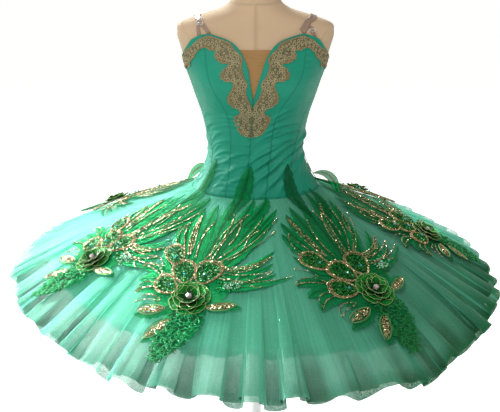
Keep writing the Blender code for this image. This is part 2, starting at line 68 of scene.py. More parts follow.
# Form: height over the waist, half width, depth in front and depth behind
FORM_SECTIONS = {
    "height": (-0.270, -0.250, -0.200, -0.150, -0.100, -0.050, 0.000, 0.040, 0.090, 0.130,
               0.165, 0.205, 0.240, 0.270, 0.290, 0.305, 0.318, 0.334, 0.360, 0.395),
    "half_width": (0.150, 0.158, 0.166, 0.162, 0.150, 0.122, 0.106, 0.109, 0.119, 0.132,
                   0.143, 0.157, 0.168, 0.174, 0.166, 0.125, 0.082, 0.057, 0.053, 0.053),
    "front": (0.095, 0.102, 0.108, 0.108, 0.104, 0.094, 0.086, 0.089, 0.098, 0.108,
              0.114, 0.108, 0.094, 0.078, 0.066, 0.060, 0.056, 0.052, 0.050, 0.050),
    "back": (0.105, 0.112, 0.122, 0.120, 0.108, 0.088, 0.076, 0.078, 0.088, 0.096,
             0.101, 0.103, 0.100, 0.090, 0.077, 0.068, 0.062, 0.057, 0.054, 0.054),
}
CUP_DEPTH = 0.013
CUP_HEIGHT = 0.165
CUP_ANGLE = 35.5
CUP_SPREAD = 23.0
CUP_HALF_HEIGHT = 0.054
FORM_COLUMNS = 160
# Fewer rows where the bodice covers the form
COVERED_TOP = 0.130
COVERED_ROWS = 32
FORM_ROWS = 84
# The form's cover: raised seam down the front, neck seam and arm seams
FORM_SEAM_RISE = 0.0009
FORM_SEAM_WIDTH = 0.0022
NECK_SEAM = (0.331, 0.012)
ARM_SEAM = {"height": (0.150, 0.200, 0.240, 0.262, 0.280, 0.296), "angle": (60, 55, 53, 57, 66, 80)}
STAND_BEVEL = 0.004
SHAFT_RADIUS = 0.016
COLLAR_HEIGHT = 0.030

# Bodice
CLOTH_LIFT = 0.0034
CLOTH_WALL = 0.0014
SATIN_FACE = CLOTH_LIFT + CLOTH_WALL
SEAM_GAP = 0.0003
BASQUE_HEIGHT = -0.088
TOP_EDGE = {
    "angle": (0, 4, 6, 8, 10.5, 13.3, 17, 22, 28, 34, 40, 46, 52, 60, 66, 72, 82, 95, 110, 140, 180),
    "height": (0.132, 0.180, 0.205, 0.221, 0.235, 0.246, 0.255, 0.261, 0.266, 0.270, 0.268,
               0.263, 0.257, 0.242, 0.234, 0.225, 0.208, 0.196, 0.186, 0.166, 0.150),
}
V_STATIONS = 7
SEAM_ANGLES = {
    "height": (-0.090, -0.040, 0.000, 0.050, 0.090, 0.125, 0.155, 0.185, 0.240, 0.270),
    "princess": (18.0, 21.5, 23.5, 23.5, 24.0, 28.0, 33.0, 37.0, 39.0, 39.5),
    "side_front": (42.0, 50.0, 55.0, 60.0, 63.0, 67.0, 71.0, 75.0, 80.0, 82.0),
    "underarm": (92.0, 94.0, 95.0, 96.0, 97.0, 99.0, 101.0, 104.0, 108.0, 110.0),
    "side_back": (140.0, 138.0, 136.0, 136.0, 137.0, 139.0, 141.0, 143.0, 145.0, 146.0),
}
TWIST = {"height": (-0.090, 0.000, 0.050, 0.090, 0.130, 0.200), "angle": (-9.5, -7.2, -5.0, -3.8, -2.5, 0.0)}
PANELS = {
    "front_centre": ("centre_front", "princess"),
    "side_front": ("princess", "side_front"),
    "side": ("side_front", "underarm"),
    "side_back": ("underarm", "side_back"),
    "back_centre": ("side_back", "centre_back"),
}
PANEL_COLUMNS = 40
PANEL_ROWS = 130
SEAM_GROOVE = 0.0007
SEAM_GROOVE_WIDTH = 0.0009
PUCKER_RISE = 0.0009
PUCKER_SPACING = 0.0105
PUCKER_REACH = 0.015
SEAM_CROWDING = 0.45
BINDING_WIDTH = 0.0034
BINDING_THICKNESS = 0.0026
# Drag creases sag a little, and those left of an angle are shallower
CREASE_SAG = 0.18
SHALLOW_ANGLE = -30
# Drag creases: middle angle and height, slope from level, length, width and rise
CREASES = (
    (-52, 0.066, 24, 0.016, 0.0028, 0.0018),
    (-50, 0.050, 34, 0.022, 0.0034, 0.0024),
    (-47, 0.033, 22, 0.028, 0.0030, 0.0022),
    (-51, 0.021, 38, 0.014, 0.0026, 0.0024),
    (-46, 0.008, 28, 0.026, 0.0036, 0.0028),
    (-50, -0.007, 18, 0.016, 0.0026, 0.0020),
    (-45, -0.017, 32, 0.024, 0.0040, 0.0026),
    (-49, -0.036, 26, 0.018, 0.0030, 0.0020),
    (-44, -0.047, 40, 0.020, 0.0034, 0.0020),
    (-40, -0.066, 30, 0.016, 0.0030, 0.0014),
    (-24, 0.006, 30, 0.030, 0.0050, 0.0021),
    (-20, -0.020, 32, 0.034, 0.0055, 0.0024),
    (-17, -0.046, 28, 0.030, 0.0055, 0.0021),
    (10, 0.014, 34, 0.046, 0.0048, 0.0036),
    (12, -0.006, 36, 0.054, 0.0050, 0.0042),
    (15, -0.028, 38, 0.052, 0.0052, 0.0045),
    (20, -0.050, 40, 0.044, 0.0052, 0.0036),
    (28, 0.018, 34, 0.046, 0.0050, 0.0045),
    (32, -0.002, 36, 0.048, 0.0050, 0.0048),
    (34, -0.024, 38, 0.046, 0.0052, 0.0045),
    (36, -0.046, 40, 0.040, 0.0052, 0.0036),
    (24, 0.038, 26, 0.044, 0.0046, 0.0033),
    (38, 0.042, 20, 0.038, 0.0048, 0.0036),
    (38, 0.062, 12, 0.036, 0.0050, 0.0027),
    (36, 0.080, 8, 0.030, 0.0046, 0.0021),
    (19, 0.060, 26, 0.026, 0.0038, 0.0027),
    (21, 0.076, 30, 0.024, 0.0036, 0.0027),
    (22, 0.092, 34, 0.022, 0.0034, 0.0025),
    (24, 0.106, 36, 0.022, 0.0034, 0.0023),
    (-26, 0.098, -12, 0.020, 0.0030, 0.0019),
    (-25, 0.088, -8, 0.020, 0.0030, 0.0019),
    (-24, 0.078, -6, 0.020, 0.0030, 0.0018),
    (-62, 0.070, 30, 0.030, 0.0045, 0.0027),
    (-64, 0.094, 26, 0.028, 0.0045, 0.0024),
    (62, 0.010, 20, 0.040, 0.0050, 0.0030),
    (66, 0.034, 14, 0.040, 0.0050, 0.0027),
    (70, -0.020, 30, 0.040, 0.0055, 0.0030),
    (80, 0.040, 12, 0.040, 0.0055, 0.0024),
    (-80, 0.000, -16, 0.040, 0.0050, 0.0027),
    (-84, 0.030, -10, 0.040, 0.0055, 0.0024),
    (118, 0.006, -18, 0.044, 0.0055, 0.0030),
    (122, -0.022, -24, 0.040, 0.0050, 0.0030),
    (126, 0.034, -12, 0.044, 0.0060, 0.0024),
    (-116, 0.010, 18, 0.044, 0.0055, 0.0030),
    (-120, -0.020, 24, 0.040, 0.0050, 0.0030),
    (-128, 0.040, 12, 0.044, 0.0060, 0.0024),
    (158, 0.000, -14, 0.040, 0.0055, 0.0027),
    (-158, 0.012, 14, 0.040, 0.0055, 0.0027),
    (160, -0.036, -20, 0.036, 0.0050, 0.0024),
    (-162, -0.030, 20, 0.036, 0.0050, 0.0024),
)
INSERT_TOP = 0.2405
INSERT_FOOT = 0.142
INSERT_TUCK = 1.6
INSERT_LIFT = 0.0014
GATHER_SPACING = 0.0062
GATHER_HEIGHT = 0.00055
PLACKET_WIDTH = 0.014
# The form is wider than deep, so across the back the strip comes out wider than that
PLACKET_LIFT = 0.0014
STITCH_PLACE = 0.86
HOOKS = 11
HOOK_EYE_RADIUS = 0.0014
HOOK_HALF_GAP = 0.0028
HOOK_LENGTH = 0.0044
HOOK_MARGINS = (0.014, 0.012)

# Gold lace along the neckline: the edge near the neckline and the lobed far edge, by share of its length
LACE_NEAR = {
    "share": (0, 0.05, 0.10, 0.16, 0.20, 0.25, 0.29, 0.33, 0.37, 0.42, 0.46, 0.52, 0.57, 0.63, 0.67, 0.73,
              0.77, 0.80, 0.88, 0.94, 0.975, 1),
    "angle": (74, 62, 54.5, 42.5, 35, 28, 23, 18.5, 16.5, 13, 10.5, 11.5, 10, 6.5, 7.5, 6, 2.5,
              0.35, 0.35, 0.35, 0.35, 0.35),
    "height": (0.221, 0.233, 0.240, 0.258, 0.264, 0.260, 0.256, 0.250, 0.240, 0.232, 0.222, 0.206, 0.190,
               0.172, 0.162, 0.142, 0.129, 0.120, 0.098, 0.076, 0.062, 0.055),
}
LACE_FAR = {
    "share": (0, 0.022, 0.045, 0.07, 0.095, 0.125, 0.15, 0.18, 0.21, 0.24, 0.27, 0.30, 0.33, 0.37, 0.42, 0.46,
              0.49, 0.52, 0.56, 0.60, 0.64, 0.69, 0.73, 0.76, 0.80, 0.83, 0.88, 0.93, 0.965, 0.99, 1),
    "angle": (80, 74, 68, 62, 56.5, 51, 48, 43, 38, 33.5, 28.5, 29.5, 28.5, 24, 19.5, 20, 23, 25.1, 21.8,
              16.7, 15.9, 19.7, 20.2, 16.9, 11.7, 10.4, 16.5, 14.3, 9.8, 2.4, 0.4),
    "height": (0.200, 0.196, 0.206, 0.203, 0.217, 0.224, 0.232, 0.241, 0.245, 0.240, 0.239, 0.232, 0.224,
               0.216, 0.215, 0.208, 0.202, 0.190, 0.180, 0.178, 0.168, 0.150, 0.136, 0.126, 0.119, 0.110,
               0.098, 0.076, 0.060, 0.054, 0.052),
}
LACE_LIFT = 0.0013
LACE_SCALLOPS = 44
PICOTS = 96
LACE_RINGS = 144
RING_PLACES = (0.20, 0.50, 0.76)
CORD_RADIUS = 0.00060

# Straps
STRAP_WIDTH = 0.013
STRAP_LIFT = 0.0009
STRAP_WALL = 0.0012
STRAP_OVER_SHOULDER = {"angle": (90, 128, 146, 152, 155), "height": (0.3045, 0.292, 0.262, 0.215, 0.1705)}
STRAP_ROUTES = {
    "strap_left": ((-45.5, 0.2915), (-58.0, 0.2985)),
    "strap_right": ((34.5, 0.2750), (40.0, 0.2880), (52.0, 0.2970)),
    "strap_left_outer_leg": ((-43.8, 0.2660), (-44.8, 0.2760), (-45.6, 0.2868)),
    "strap_left_inner_leg": ((-34.5, 0.2720), (-38.6, 0.2825), (-42.6, 0.2895)),
    "strap_right_outer_leg": ((46.4, 0.2655), (44.8, 0.2750), (42.4, 0.2855)),
}
STRAP_END_FADE = 0.15
LEG_WIDTH = 0.0085
SLIDER_SIZE = (0.0160, 0.0068, 0.0018)
SLIDER_PLACES = {"slider_left": (-44.6, 0.2890), "slider_right": (44.2, 0.2775)}

YOKE_FOOT = -0.185
YOKE_GRID = (24, 120)

# Net layers
HEM_OUTLINE = {
    "angle": (-180, -138, -108, -84, -45, -18, 8, 30, 50, 80, 120, 180),
    "radius": (0.584, 0.584, 0.610, 0.586, 0.557, 0.580, 0.590, 0.602, 0.580, 0.568, 0.578, 0.584),
}
MEAN_HEM_RADIUS = 0.580
HEM_ROUNDING = 0.10
NET_HEAD_LIFT = 0.0057
WAVE_GROWTH = 3.0
# Each layer: head height, hem radius, hem height, flutes, flute height
NET_LAYERS = {
    "overlay_net": (-0.0905, 0.578, -0.299, 44, 0.014),
    "long_net": (-0.1030, 0.568, -0.305, 44, 0.013),
    "short_net": (-0.1155, 0.475, -0.2755, 36, 0.009),
    "stiff_net": (-0.1280, 0.400, -0.257, 36, 0.006),
}
# How each is gathered: random seed, columns a flute, rings, cover at the head and at the hem, cut length, and
# how much painted shade darkens its valleys
NET_LOOKS = {
    "overlay_net": (3, 24, 30, 0.80, 0.50, 5.0, 0.50),
    "long_net": (11, 24, 26, 0.85, 0.60, 5.0, 0.85),
    "short_net": (23, 20, 16, 0.96, 0.86, 4.0, 0.30),
    "stiff_net": (37, 16, 12, 0.98, 0.94, 3.0, 0.30),
}
FOLD_LINE = 0.30
EDGE_SHARE = 0.989
HEM_RAG = 0.018
# Past the inner nets the insides of the flutes show dark, by painted shade
INNER_END = 0.79
INNER_FADE = 0.11
GREY_SHADE_FADE = 0.025
NET_LENGTH = 0.47
RING_POWER = 0.85
FOLD_GROWTH = 4.2
GATHER_RISE = 0.0008
GATHER_REACH = 0.09
GATHERS_A_FLUTE = 4
# Painted shade on the skirt's right side: its mean, its swing round the skirt, and where it fades behind
SHADE_MEAN = 0.42
SHADE_SWING = 0.80
SHADE_TURN = 12
SHADE_END = 84
SHADE_FADE = 20

# Appliques
APPLIQUE_ANGLES = (-61, -18, 34, 86, 137, 188, 240)
APPLIQUE_PLACE = 0.613
APPLIQUE_CLEARANCE = 0.0022
WORN_CLEARANCE = 0.0012
HEAD_SHARE = 0.02
EYES = {
    "across": (-0.070, -0.034, 0.012, -0.060),
    "up": (0.098, 0.061, 0.070, 0.020),
    "size": (0.0275, 0.030, 0.031, 0.027),
}
EYE_BREADTH = 0.80
EYE_TAPER = 0.30
# The three cords round an eye: inset, radius and lift
EYE_CORDS = ((0.0, 0.0009, 0.0042), (0.5, 0.0010, 0.0046), (1.0, 0.0009, 0.0044))
EYE_GOLD = 280
EYE_GREEN = 220
ROSE_RADIUS = 0.041
ROSE_HEIGHT = 0.022


def smooth(stations, values, at):
    """A smooth curve through a table, flat past its ends."""
    stations = np.asarray(stations, float)
    values = np.asarray(values, float)
    slopes = np.gradient(values, stations)
    at = np.clip(at, stations[0], stations[-1])
    i = np.clip(np.searchsorted(stations, at, side="right") - 1, 0, len(stations) - 2)
    width = stations[i + 1] - stations[i]
    s = (at - stations[i]) / width
    return (
        values[i] * (1 + 2 * s) * (1 - s) ** 2
        + values[i + 1] * s * s * (3 - 2 * s)
        + width * slopes[i] * s * (1 - s) ** 2
        + width * slopes[i + 1] * s * s * (s - 1)
    )


def read(table, key, at, by="height"):
    """One column of a table, at these places of another of its columns."""
    return smooth(table[by], table[key], at)


def circle(count):
    """Angles evenly round a turn, in radians."""
    return 2 * math.pi * np.arange(count) / count


def ring(middle, radius, first, second, count):
    """Points round a middle, in the plane of two directions."""
    turn = circle(count)[:, None]
    return middle + radius * (np.cos(turn) * first + np.sin(turn) * second)


def turned(x, y, turn):
    """x and y turned about the origin."""
    c, s = math.cos(turn), math.sin(turn)
    return x * c - y * s, x * s + y * c


def wrapped(angle):
    """The same angle from -180 to 180."""
    return (angle + 180) % 360 - 180


def unit(vectors):
    return vectors / np.maximum(np.linalg.norm(vectors, axis=-1, keepdims=True), 1e-12)


def bell(distance, width):
    return np.exp(-((distance / width) ** 2))


def paired(first, second):
    """Two values a point, on one grid."""
    return np.stack(np.broadcast_arrays(first, second), -1)


def cloth_map(angle, height, radius):
    """Metres round and up a piece of cloth of this radius."""
    return paired(np.radians(angle) * radius, height)


def ring_noise(seed, knots, at):
    """Smooth random values from -1 to 1 round a ring, at shares of a turn."""
    values = np.random.default_rng(seed).uniform(-1, 1, knots)
    place = np.mod(at, 1) * knots
    i = place.astype(int) % knots
    s = place - np.floor(place)
    s = s * s * (3 - 2 * s)
    return values[i] * (1 - s) + values[(i + 1) % knots] * s


def form_skin(angle, height):
    """Points on the form's skin."""
    angle, height = np.broadcast_arrays(np.asarray(angle, float), np.asarray(height, float))
    turn = np.radians(angle)
    width, front, back = (read(FORM_SECTIONS, key, height) for key in ("half_width", "front", "back"))
    depth = np.where(np.cos(turn) > 0, front, back)
    beside = (np.abs(wrapped(angle)) - CUP_ANGLE) / CUP_SPREAD
    above = (height - CUP_HEIGHT) / CUP_HALF_HEIGHT
    cup = CUP_DEPTH * np.exp(-beside * beside - above * above)
    return np.stack([(width + cup) * np.sin(turn), -(depth + cup) * np.cos(turn), WAIST_HEIGHT + height], -1)


def form_normal(angle, height):
    step_angle, step_height = 0.5, 0.001
    across = form_skin(angle + step_angle, height) - form_skin(angle - step_angle, height)
    rise = form_skin(angle, height + step_height) - form_skin(angle, height - step_height)
    return unit(np.cross(across, rise))


def on_form(angle, height, lift):
    lift = np.asarray(lift, float)[..., None]
    return form_skin(angle, height) + form_normal(angle, height) * lift


def form_radius(angle, height):
    return np.linalg.norm(form_skin(angle, height)[..., :2], axis=-1)


def twist(height):
    return read(TWIST, "angle", height)


def seam(name, height):
    if name == "centre_front":
        return np.zeros_like(height)
    if name == "centre_back":
        return np.full_like(height, 180.0)
    return read(SEAM_ANGLES, name, height)


def top_height(angle):
    return np.interp(np.abs(angle), TOP_EDGE["angle"], TOP_EDGE["height"])


class Nodes:
    """A node tree, with short calls for what goes into it."""

    def __init__(self, tree):
        self.tree = tree

    def put(self, node, key, value):
        socket = node.inputs[key]
        if isinstance(value, bpy.types.NodeSocket):
            self.tree.links.new(value, socket)
        elif socket.type == "RGBA" and len(value) == 3:
            socket.default_value = (*value, 1)
        else:
            socket.default_value = value

    def node(self, kind, inputs=None, output=0, **settings):
        made = self.tree.nodes.new("ShaderNode" + kind)
        for key, value in settings.items():
            setattr(made, key, value)
        for key, value in (inputs or {}).items():
            self.put(made, key, value)
        return made.outputs[output]

    def node_outputs(self, kind, inputs):
        return self.node(kind, inputs).node.outputs

    def math(self, operation, first, second=0.0, clamp=False):
        return self.node("Math", {0: first, 1: second}, operation=operation, use_clamp=clamp)

    def mix(self, share, first, second):
        return self.node("Mix", {0: share, 6: first, 7: second}, output=2, data_type="RGBA")

    def range(self, value, low, high, to_low=0.0, to_high=1.0):
        return self.node("MapRange", {0: value, 1: low, 2: high, 3: to_low, 4: to_high})


class Look(Nodes):
    """A material in the making."""

    def __init__(self, name, **sockets):
        self.material = bpy.data.materials.new(name)
        self.material.use_nodes = True
        super().__init__(self.material.node_tree)
        self.shader = self.tree.nodes["Principled BSDF"]
        self.place = self.node("TexCoord", output="Object")
        for key, value in sockets.items():
            self.set(key.replace("_", " "), value)

    def set(self, key, value):
        self.put(self.shader, key, value)

    def colour(self, share, first, second):
        self.set("Base Color", self.mix(share, first, second))

    def noise(self, scale, detail=3.0):
        return self.node("TexNoise", {"Scale": scale, "Detail": detail, "Vector": self.place})

    def attribute(self, name):
        return self.node("Attribute", output="Fac", attribute_name=name)

    def cloth_place(self):
        """Metres along and across the cloth."""
        return self.node("UVMap", uv_map="cloth")

    def threads(self, spacing, direction):
        """Fine ridges this far apart, across one direction of the cloth."""
        wave_period = 0.3142
        inputs = {"Vector": self.cloth_place(), "Scale": wave_period / spacing}
        return self.node("TexWave", inputs, output="Fac", bands_direction=direction)

    def weave(self, spacing):
        warp, weft = self.threads(spacing, "X"), self.threads(spacing, "Y")
        return self.math("MULTIPLY", warp, weft)

    def stretched(self, across, along):
        """The cloth's map, scaled apart for streaks."""
        inputs = {0: self.cloth_place(), 1: (across, along, 1.0)}
        return self.node("VectorMath", inputs, operation="MULTIPLY")

    def bump(self, height, strength, distance):
        inputs = {"Height": height, "Strength": strength, "Distance": distance}
        self.set("Normal", self.node("Bump", inputs))


def shaded(look, colour, spread, scale):
    """The colour with soft patches a little lighter and darker."""
    dark = tuple(c * (1 - spread) for c in colour)
    light = tuple(min(c * (1 + spread), 1) for c in colour)
    return look.mix(look.noise(scale), dark, light)


def linen_look():
    look = Look("form_linen", Roughness=0.9, Sheen_Weight=0.15)
    colour = shaded(look, (0.61, 0.42, 0.28), 0.10, 7)
    slub = look.noise(900, 2)
    colour = look.mix(look.math("MULTIPLY", slub, 0.25), colour, (0.34, 0.25, 0.17))
    seam_shade = look.attribute("seam")
    look.colour(look.math("MULTIPLY", seam_shade, 0.45), colour, (0.34, 0.24, 0.15))
    look.bump(look.math("ADD", look.weave(0.0011), slub), 0.35, 0.0006)
    return look.material


def satin_look(name, colour, roughness=0.50):
    look = Look(name, Roughness=roughness, Sheen_Weight=0.03, Sheen_Roughness=0.4, Specular_IOR_Level=0.34)
    cloth = shaded(look, colour, 0.08, 16)
    # Painted shade: darker along the seam grooves and stitch lines
    groove = look.attribute("seam")
    shade = tuple(c * 0.40 for c in colour)
    look.colour(look.math("MULTIPLY", groove, 0.60), cloth, shade)
    look.set("Roughness", look.range(look.noise(60), 0.3, 0.7, roughness - 0.05, roughness + 0.08))
    uneven = look.math("ADD", look.noise(240, 2), look.math("MULTIPLY", look.noise(48, 3), 7.0))
    look.bump(look.math("ADD", look.weave(0.0007), uneven), 0.30, 0.0005)
    return look.material


def net_look(name, colour, deep):
    """A fine net: each cell is open, and the folded layers add up."""
    look = Look(name, Roughness=0.75, Sheen_Weight=0.1)
    cover, shadow = look.attribute("cover"), look.attribute("shadow")
    streak = look.node("TexNoise", {"Vector": look.stretched(120, 3), "Scale": 1.0, "Detail": 4.0})
    streak = look.range(streak, 0.25, 0.75)
    shade = look.mix(streak, deep, colour)
    # Painted shade: the shadow attribute darkens the net to deep green, and the next one greys it where shade
    # shows through the layers
    shade = look.mix(shadow, shade, (0.002, 0.125, 0.040))
    shade = look.mix(look.attribute("grey_shade"), shade, (0.105, 0.235, 0.185))
    look.set("Base Color", shade)
    gap = look.node("TexVoronoi", {"Vector": look.cloth_place(), "Scale": 700.0}, output="Distance",
                    feature="DISTANCE_TO_EDGE")
    thread = look.range(gap, 0.08, 0.30, 1.30, 0.75)
    woven = look.math("MULTIPLY", cover, thread)
    alpha = look.math("MULTIPLY", woven, look.range(streak, 0, 1, 0.93, 1.06), clamp=True)
    lit_through = look.node("BsdfTranslucent", {"Color": shade})
    both = look.node("MixShader", {0: 0.45, 1: look.shader.outputs[0], 2: lit_through})
    clear = look.node("BsdfTransparent")
    surface = look.node("MixShader", {0: alpha, 1: clear, 2: both})
    look.tree.links.new(surface, look.tree.nodes["Material Output"].inputs["Surface"])
    return look.material


def mesh_look():
    look = Look("nude_mesh", Roughness=0.85, Sheen_Weight=0.2)
    colour = shaded(look, (0.36, 0.19, 0.068), 0.12, 40)
    look.colour(look.math("MULTIPLY", look.weave(0.0009), 0.3), colour, (0.24, 0.12, 0.05))
    look.bump(look.weave(0.0009), 0.3, 0.0004)
    return look.material


def cord_look(name, colour, dark, metallic=0.35, roughness=0.42):
    """Twisted metallic cord or thread."""
    look = Look(name, Roughness=roughness)
    look.set("Metallic", metallic)
    strand = look.noise(1400, 2)
    look.colour(strand, dark, colour)
    look.bump(strand, 0.5, 0.0004)
    return look.material


def lace_ground_look():
    """Small corded loops over dark net."""
    look = Look("lace_ground", Roughness=0.7)
    inputs = {"Vector": look.cloth_place(), "Scale": 190.0}
    cell, wall = (
        look.node("TexVoronoi", inputs, "Distance", voronoi_dimensions="2D", feature=feature)
        for feature in ("F1", "DISTANCE_TO_EDGE")
    )
    off_ring = look.math("ABSOLUTE", look.math("SUBTRACT", cell, 0.32))
    loop = look.range(off_ring, 0.04, 0.10, 1.0, 0.0)
    cords = look.math("MAXIMUM", loop, look.range(wall, 0.04, 0.10, 1.0, 0.0))
    tone = look.mix(look.noise(120, 2), (0.17, 0.125, 0.055), (0.42, 0.34, 0.19))
    ground = look.mix(look.noise(70, 2), (0.012, 0.055, 0.026), (0.095, 0.075, 0.030))
    colour = look.mix(cords, ground, tone)
    look.colour(look.attribute("border"), colour, (0.31, 0.19, 0.085))
    look.set("Alpha", look.range(cords, 0.0, 0.5, 0.86, 1.0))
    look.bump(cords, 0.8, 0.0006)
    return look.material


def tulle_look():
    """Emerald tulle that backs the appliques, with slanting barbs stitched either side of a rib."""
    look = Look("applique_tulle", Roughness=0.7, Specular_IOR_Level=0.1)
    rib, dark = look.attribute("rib"), look.attribute("dark")
    across, along, _ = look.node_outputs("SeparateXYZ", {0: look.cloth_place()})
    slant = look.math("ADD", along, look.math("MULTIPLY", look.math("ABSOLUTE", across), -1.1))
    wander = look.math("MULTIPLY", look.noise(140, 2), 0.004)
    stripe = look.math("SINE", look.math("MULTIPLY", look.math("ADD", slant, wander), 2600.0))
    barb = look.range(stripe, -0.2, 0.6)
    patch = look.range(look.noise(70, 3), 0.35, 0.65, 0.0, 0.55)
    colour = look.mix(barb, (0.000, 0.21, 0.050), (0.004, 0.72, 0.210))
    colour = look.mix(patch, colour, (0.001, 0.25, 0.070))
    colour = look.mix(rib, colour, (0.001, 0.085, 0.016))
    # The dark attribute holds the tulle's darker parts with painted shade added on the skirt's right side
    look.colour(dark, colour, (0.001, 0.110, 0.030))
    cover = look.math("SUBTRACT", look.range(barb, 0, 1, 0.80, 1.0), look.math("MULTIPLY", dark, 0.25))
    look.set("Alpha", look.math("MAXIMUM", cover, rib, clamp=True))
    look.bump(barb, 0.6, 0.0006)
    return look.material


def sequin_look(name, dark, bright, metallic, roughness, coat):
    look = Look(name, Roughness=roughness, Coat_Weight=coat, Coat_Roughness=0.1)
    look.set("Metallic", metallic)
    look.colour(look.range(look.noise(520, 1), 0.43, 0.57), dark, bright)
    return look.material


def organza_look():
    look = Look("rose_organza", Roughness=0.6, Specular_IOR_Level=0.12)
    # Painted shade: the petals darker towards the rose's heart and their sides, lighter towards their tips
    edge = look.attribute("rib")
    look.colour(edge, (0.001, 0.042, 0.005), (0.008, 0.27, 0.026))
    look.bump(look.noise(500, 2), 0.25, 0.0005)
    return look.material


def crystal_look(name, colour, painted_flash):
    look = Look(name, Roughness=0.04, Transmission_Weight=0.35, IOR=1.7, Coat_Weight=1.0)
    # Painted flashes of light, in patches over the stone's colour
    look.colour(look.range(look.noise(420, 2), 0.42, 0.58), colour, painted_flash)
    return look.material


def metal_look(name, colour, roughness):
    look = Look(name, Metallic=1.0)
    look.set("Base Color", shaded(look, colour, 0.06, 60))
    look.set("Roughness", look.range(look.noise(120, 4), 0.3, 0.7, roughness - 0.06, roughness + 0.10))
    return look.material


def wood_look():
    look = Look("cap_wood", Coat_Weight=0.3, Coat_Roughness=0.2)
    grain = look.node("TexNoise", {"Vector": look.place, "Scale": 90.0, "Detail": 6.0, "Distortion": 1.5})
    look.colour(grain, (0.17, 0.085, 0.035), (0.42, 0.25, 0.12))
    look.set("Roughness", look.range(grain, 0.2, 0.8, 0.35, 0.55))
    return look.material


LOOKS = {
    "linen": linen_look(),
    "satin": satin_look("bodice_satin", (0.002, 0.262, 0.172)),
    "strap": satin_look("strap_satin", (0.31, 0.205, 0.16), 0.32),
    "outer_net": net_look("outer_net", (0.27, 0.85, 0.66), (0.13, 0.70, 0.50)),
    "inner_net": net_look("inner_net", (0.12, 0.64, 0.47), (0.06, 0.52, 0.37)),
    "mesh": mesh_look(),
    "lace_cord": cord_look("lace_cord", (0.72, 0.62, 0.40), (0.38, 0.30, 0.16), 0.2, 0.5),
    "lace_edge": cord_look("lace_edge", (0.50, 0.37, 0.20), (0.26, 0.17, 0.08)),
    "lace_ground": lace_ground_look(),
    "tulle": tulle_look(),
    "gold": sequin_look("gold_sequin", (0.14, 0.082, 0.022), (1.0, 0.83, 0.48), 0.62, 0.26, 0.4),
    "gold_cord": cord_look("gold_cord", (0.60, 0.46, 0.22), (0.22, 0.145, 0.055), 0.25, 0.50),
    "green": sequin_look("green_sequin", (0.001, 0.032, 0.003), (0.012, 0.30, 0.030), 0.35, 0.40, 0.05),
    "green_cord": cord_look("green_cord", (0.004, 0.17, 0.035), (0.001, 0.06, 0.012), 0.0, 0.6),
    # A pale green cord: a line round the gold leaves, and a painted highlight on the plume's higher tufts
    "pale_and_lit_cord": cord_look("pale_and_lit_cord", (0.030, 0.68, 0.24), (0.006, 0.34, 0.09), 0.0, 0.5),
    # A darker copy of it, painted shade on the plumes of the skirt's right side
    "shaded_plume_cord": cord_look("shaded_plume_cord", (0.004, 0.33, 0.080), (0.001, 0.13, 0.026), 0.0, 0.6),
    "organza": organza_look(),
    "petal_wire": cord_look("petal_wire", (0.72, 0.84, 0.44), (0.24, 0.38, 0.12), 0.2, 0.5),
    "crystal": crystal_look("crystal", (0.62, 0.70, 0.80), (1.0, 0.62, 0.60)),
    "mint": crystal_look("mint_crystal", (0.03, 0.52, 0.22), (0.70, 1.0, 0.85)),
    "aqua": crystal_look("aqua_crystal", (0.02, 0.42, 0.50), (0.10, 0.75, 0.80)),
    "chrome": metal_look("slider_metal", (0.84, 0.77, 0.74), 0.22),
    "steel": metal_look("stand_steel", (0.58, 0.58, 0.59), 0.34),
    "wood": wood_look(),
}
# Looks whose faces stay flat
CUT_STONES = ("crystal", "mint", "aqua")


def grid_faces(rows, columns, closed):
    """Quads over rows of points, in order from the first row's first point."""
    i = np.arange(rows - 1)[:, None]
    j = np.arange(columns if closed else columns - 1)[None, :]
    near, beside = i * columns + j, i * columns + (j + 1) % columns
    return np.stack([near, beside, beside + columns, near + columns], -1).reshape(-1, 4)


def put_in_scene(name, data):
    made = bpy.data.objects.new(name, data)
    bpy.context.scene.collection.objects.link(made)
    return made


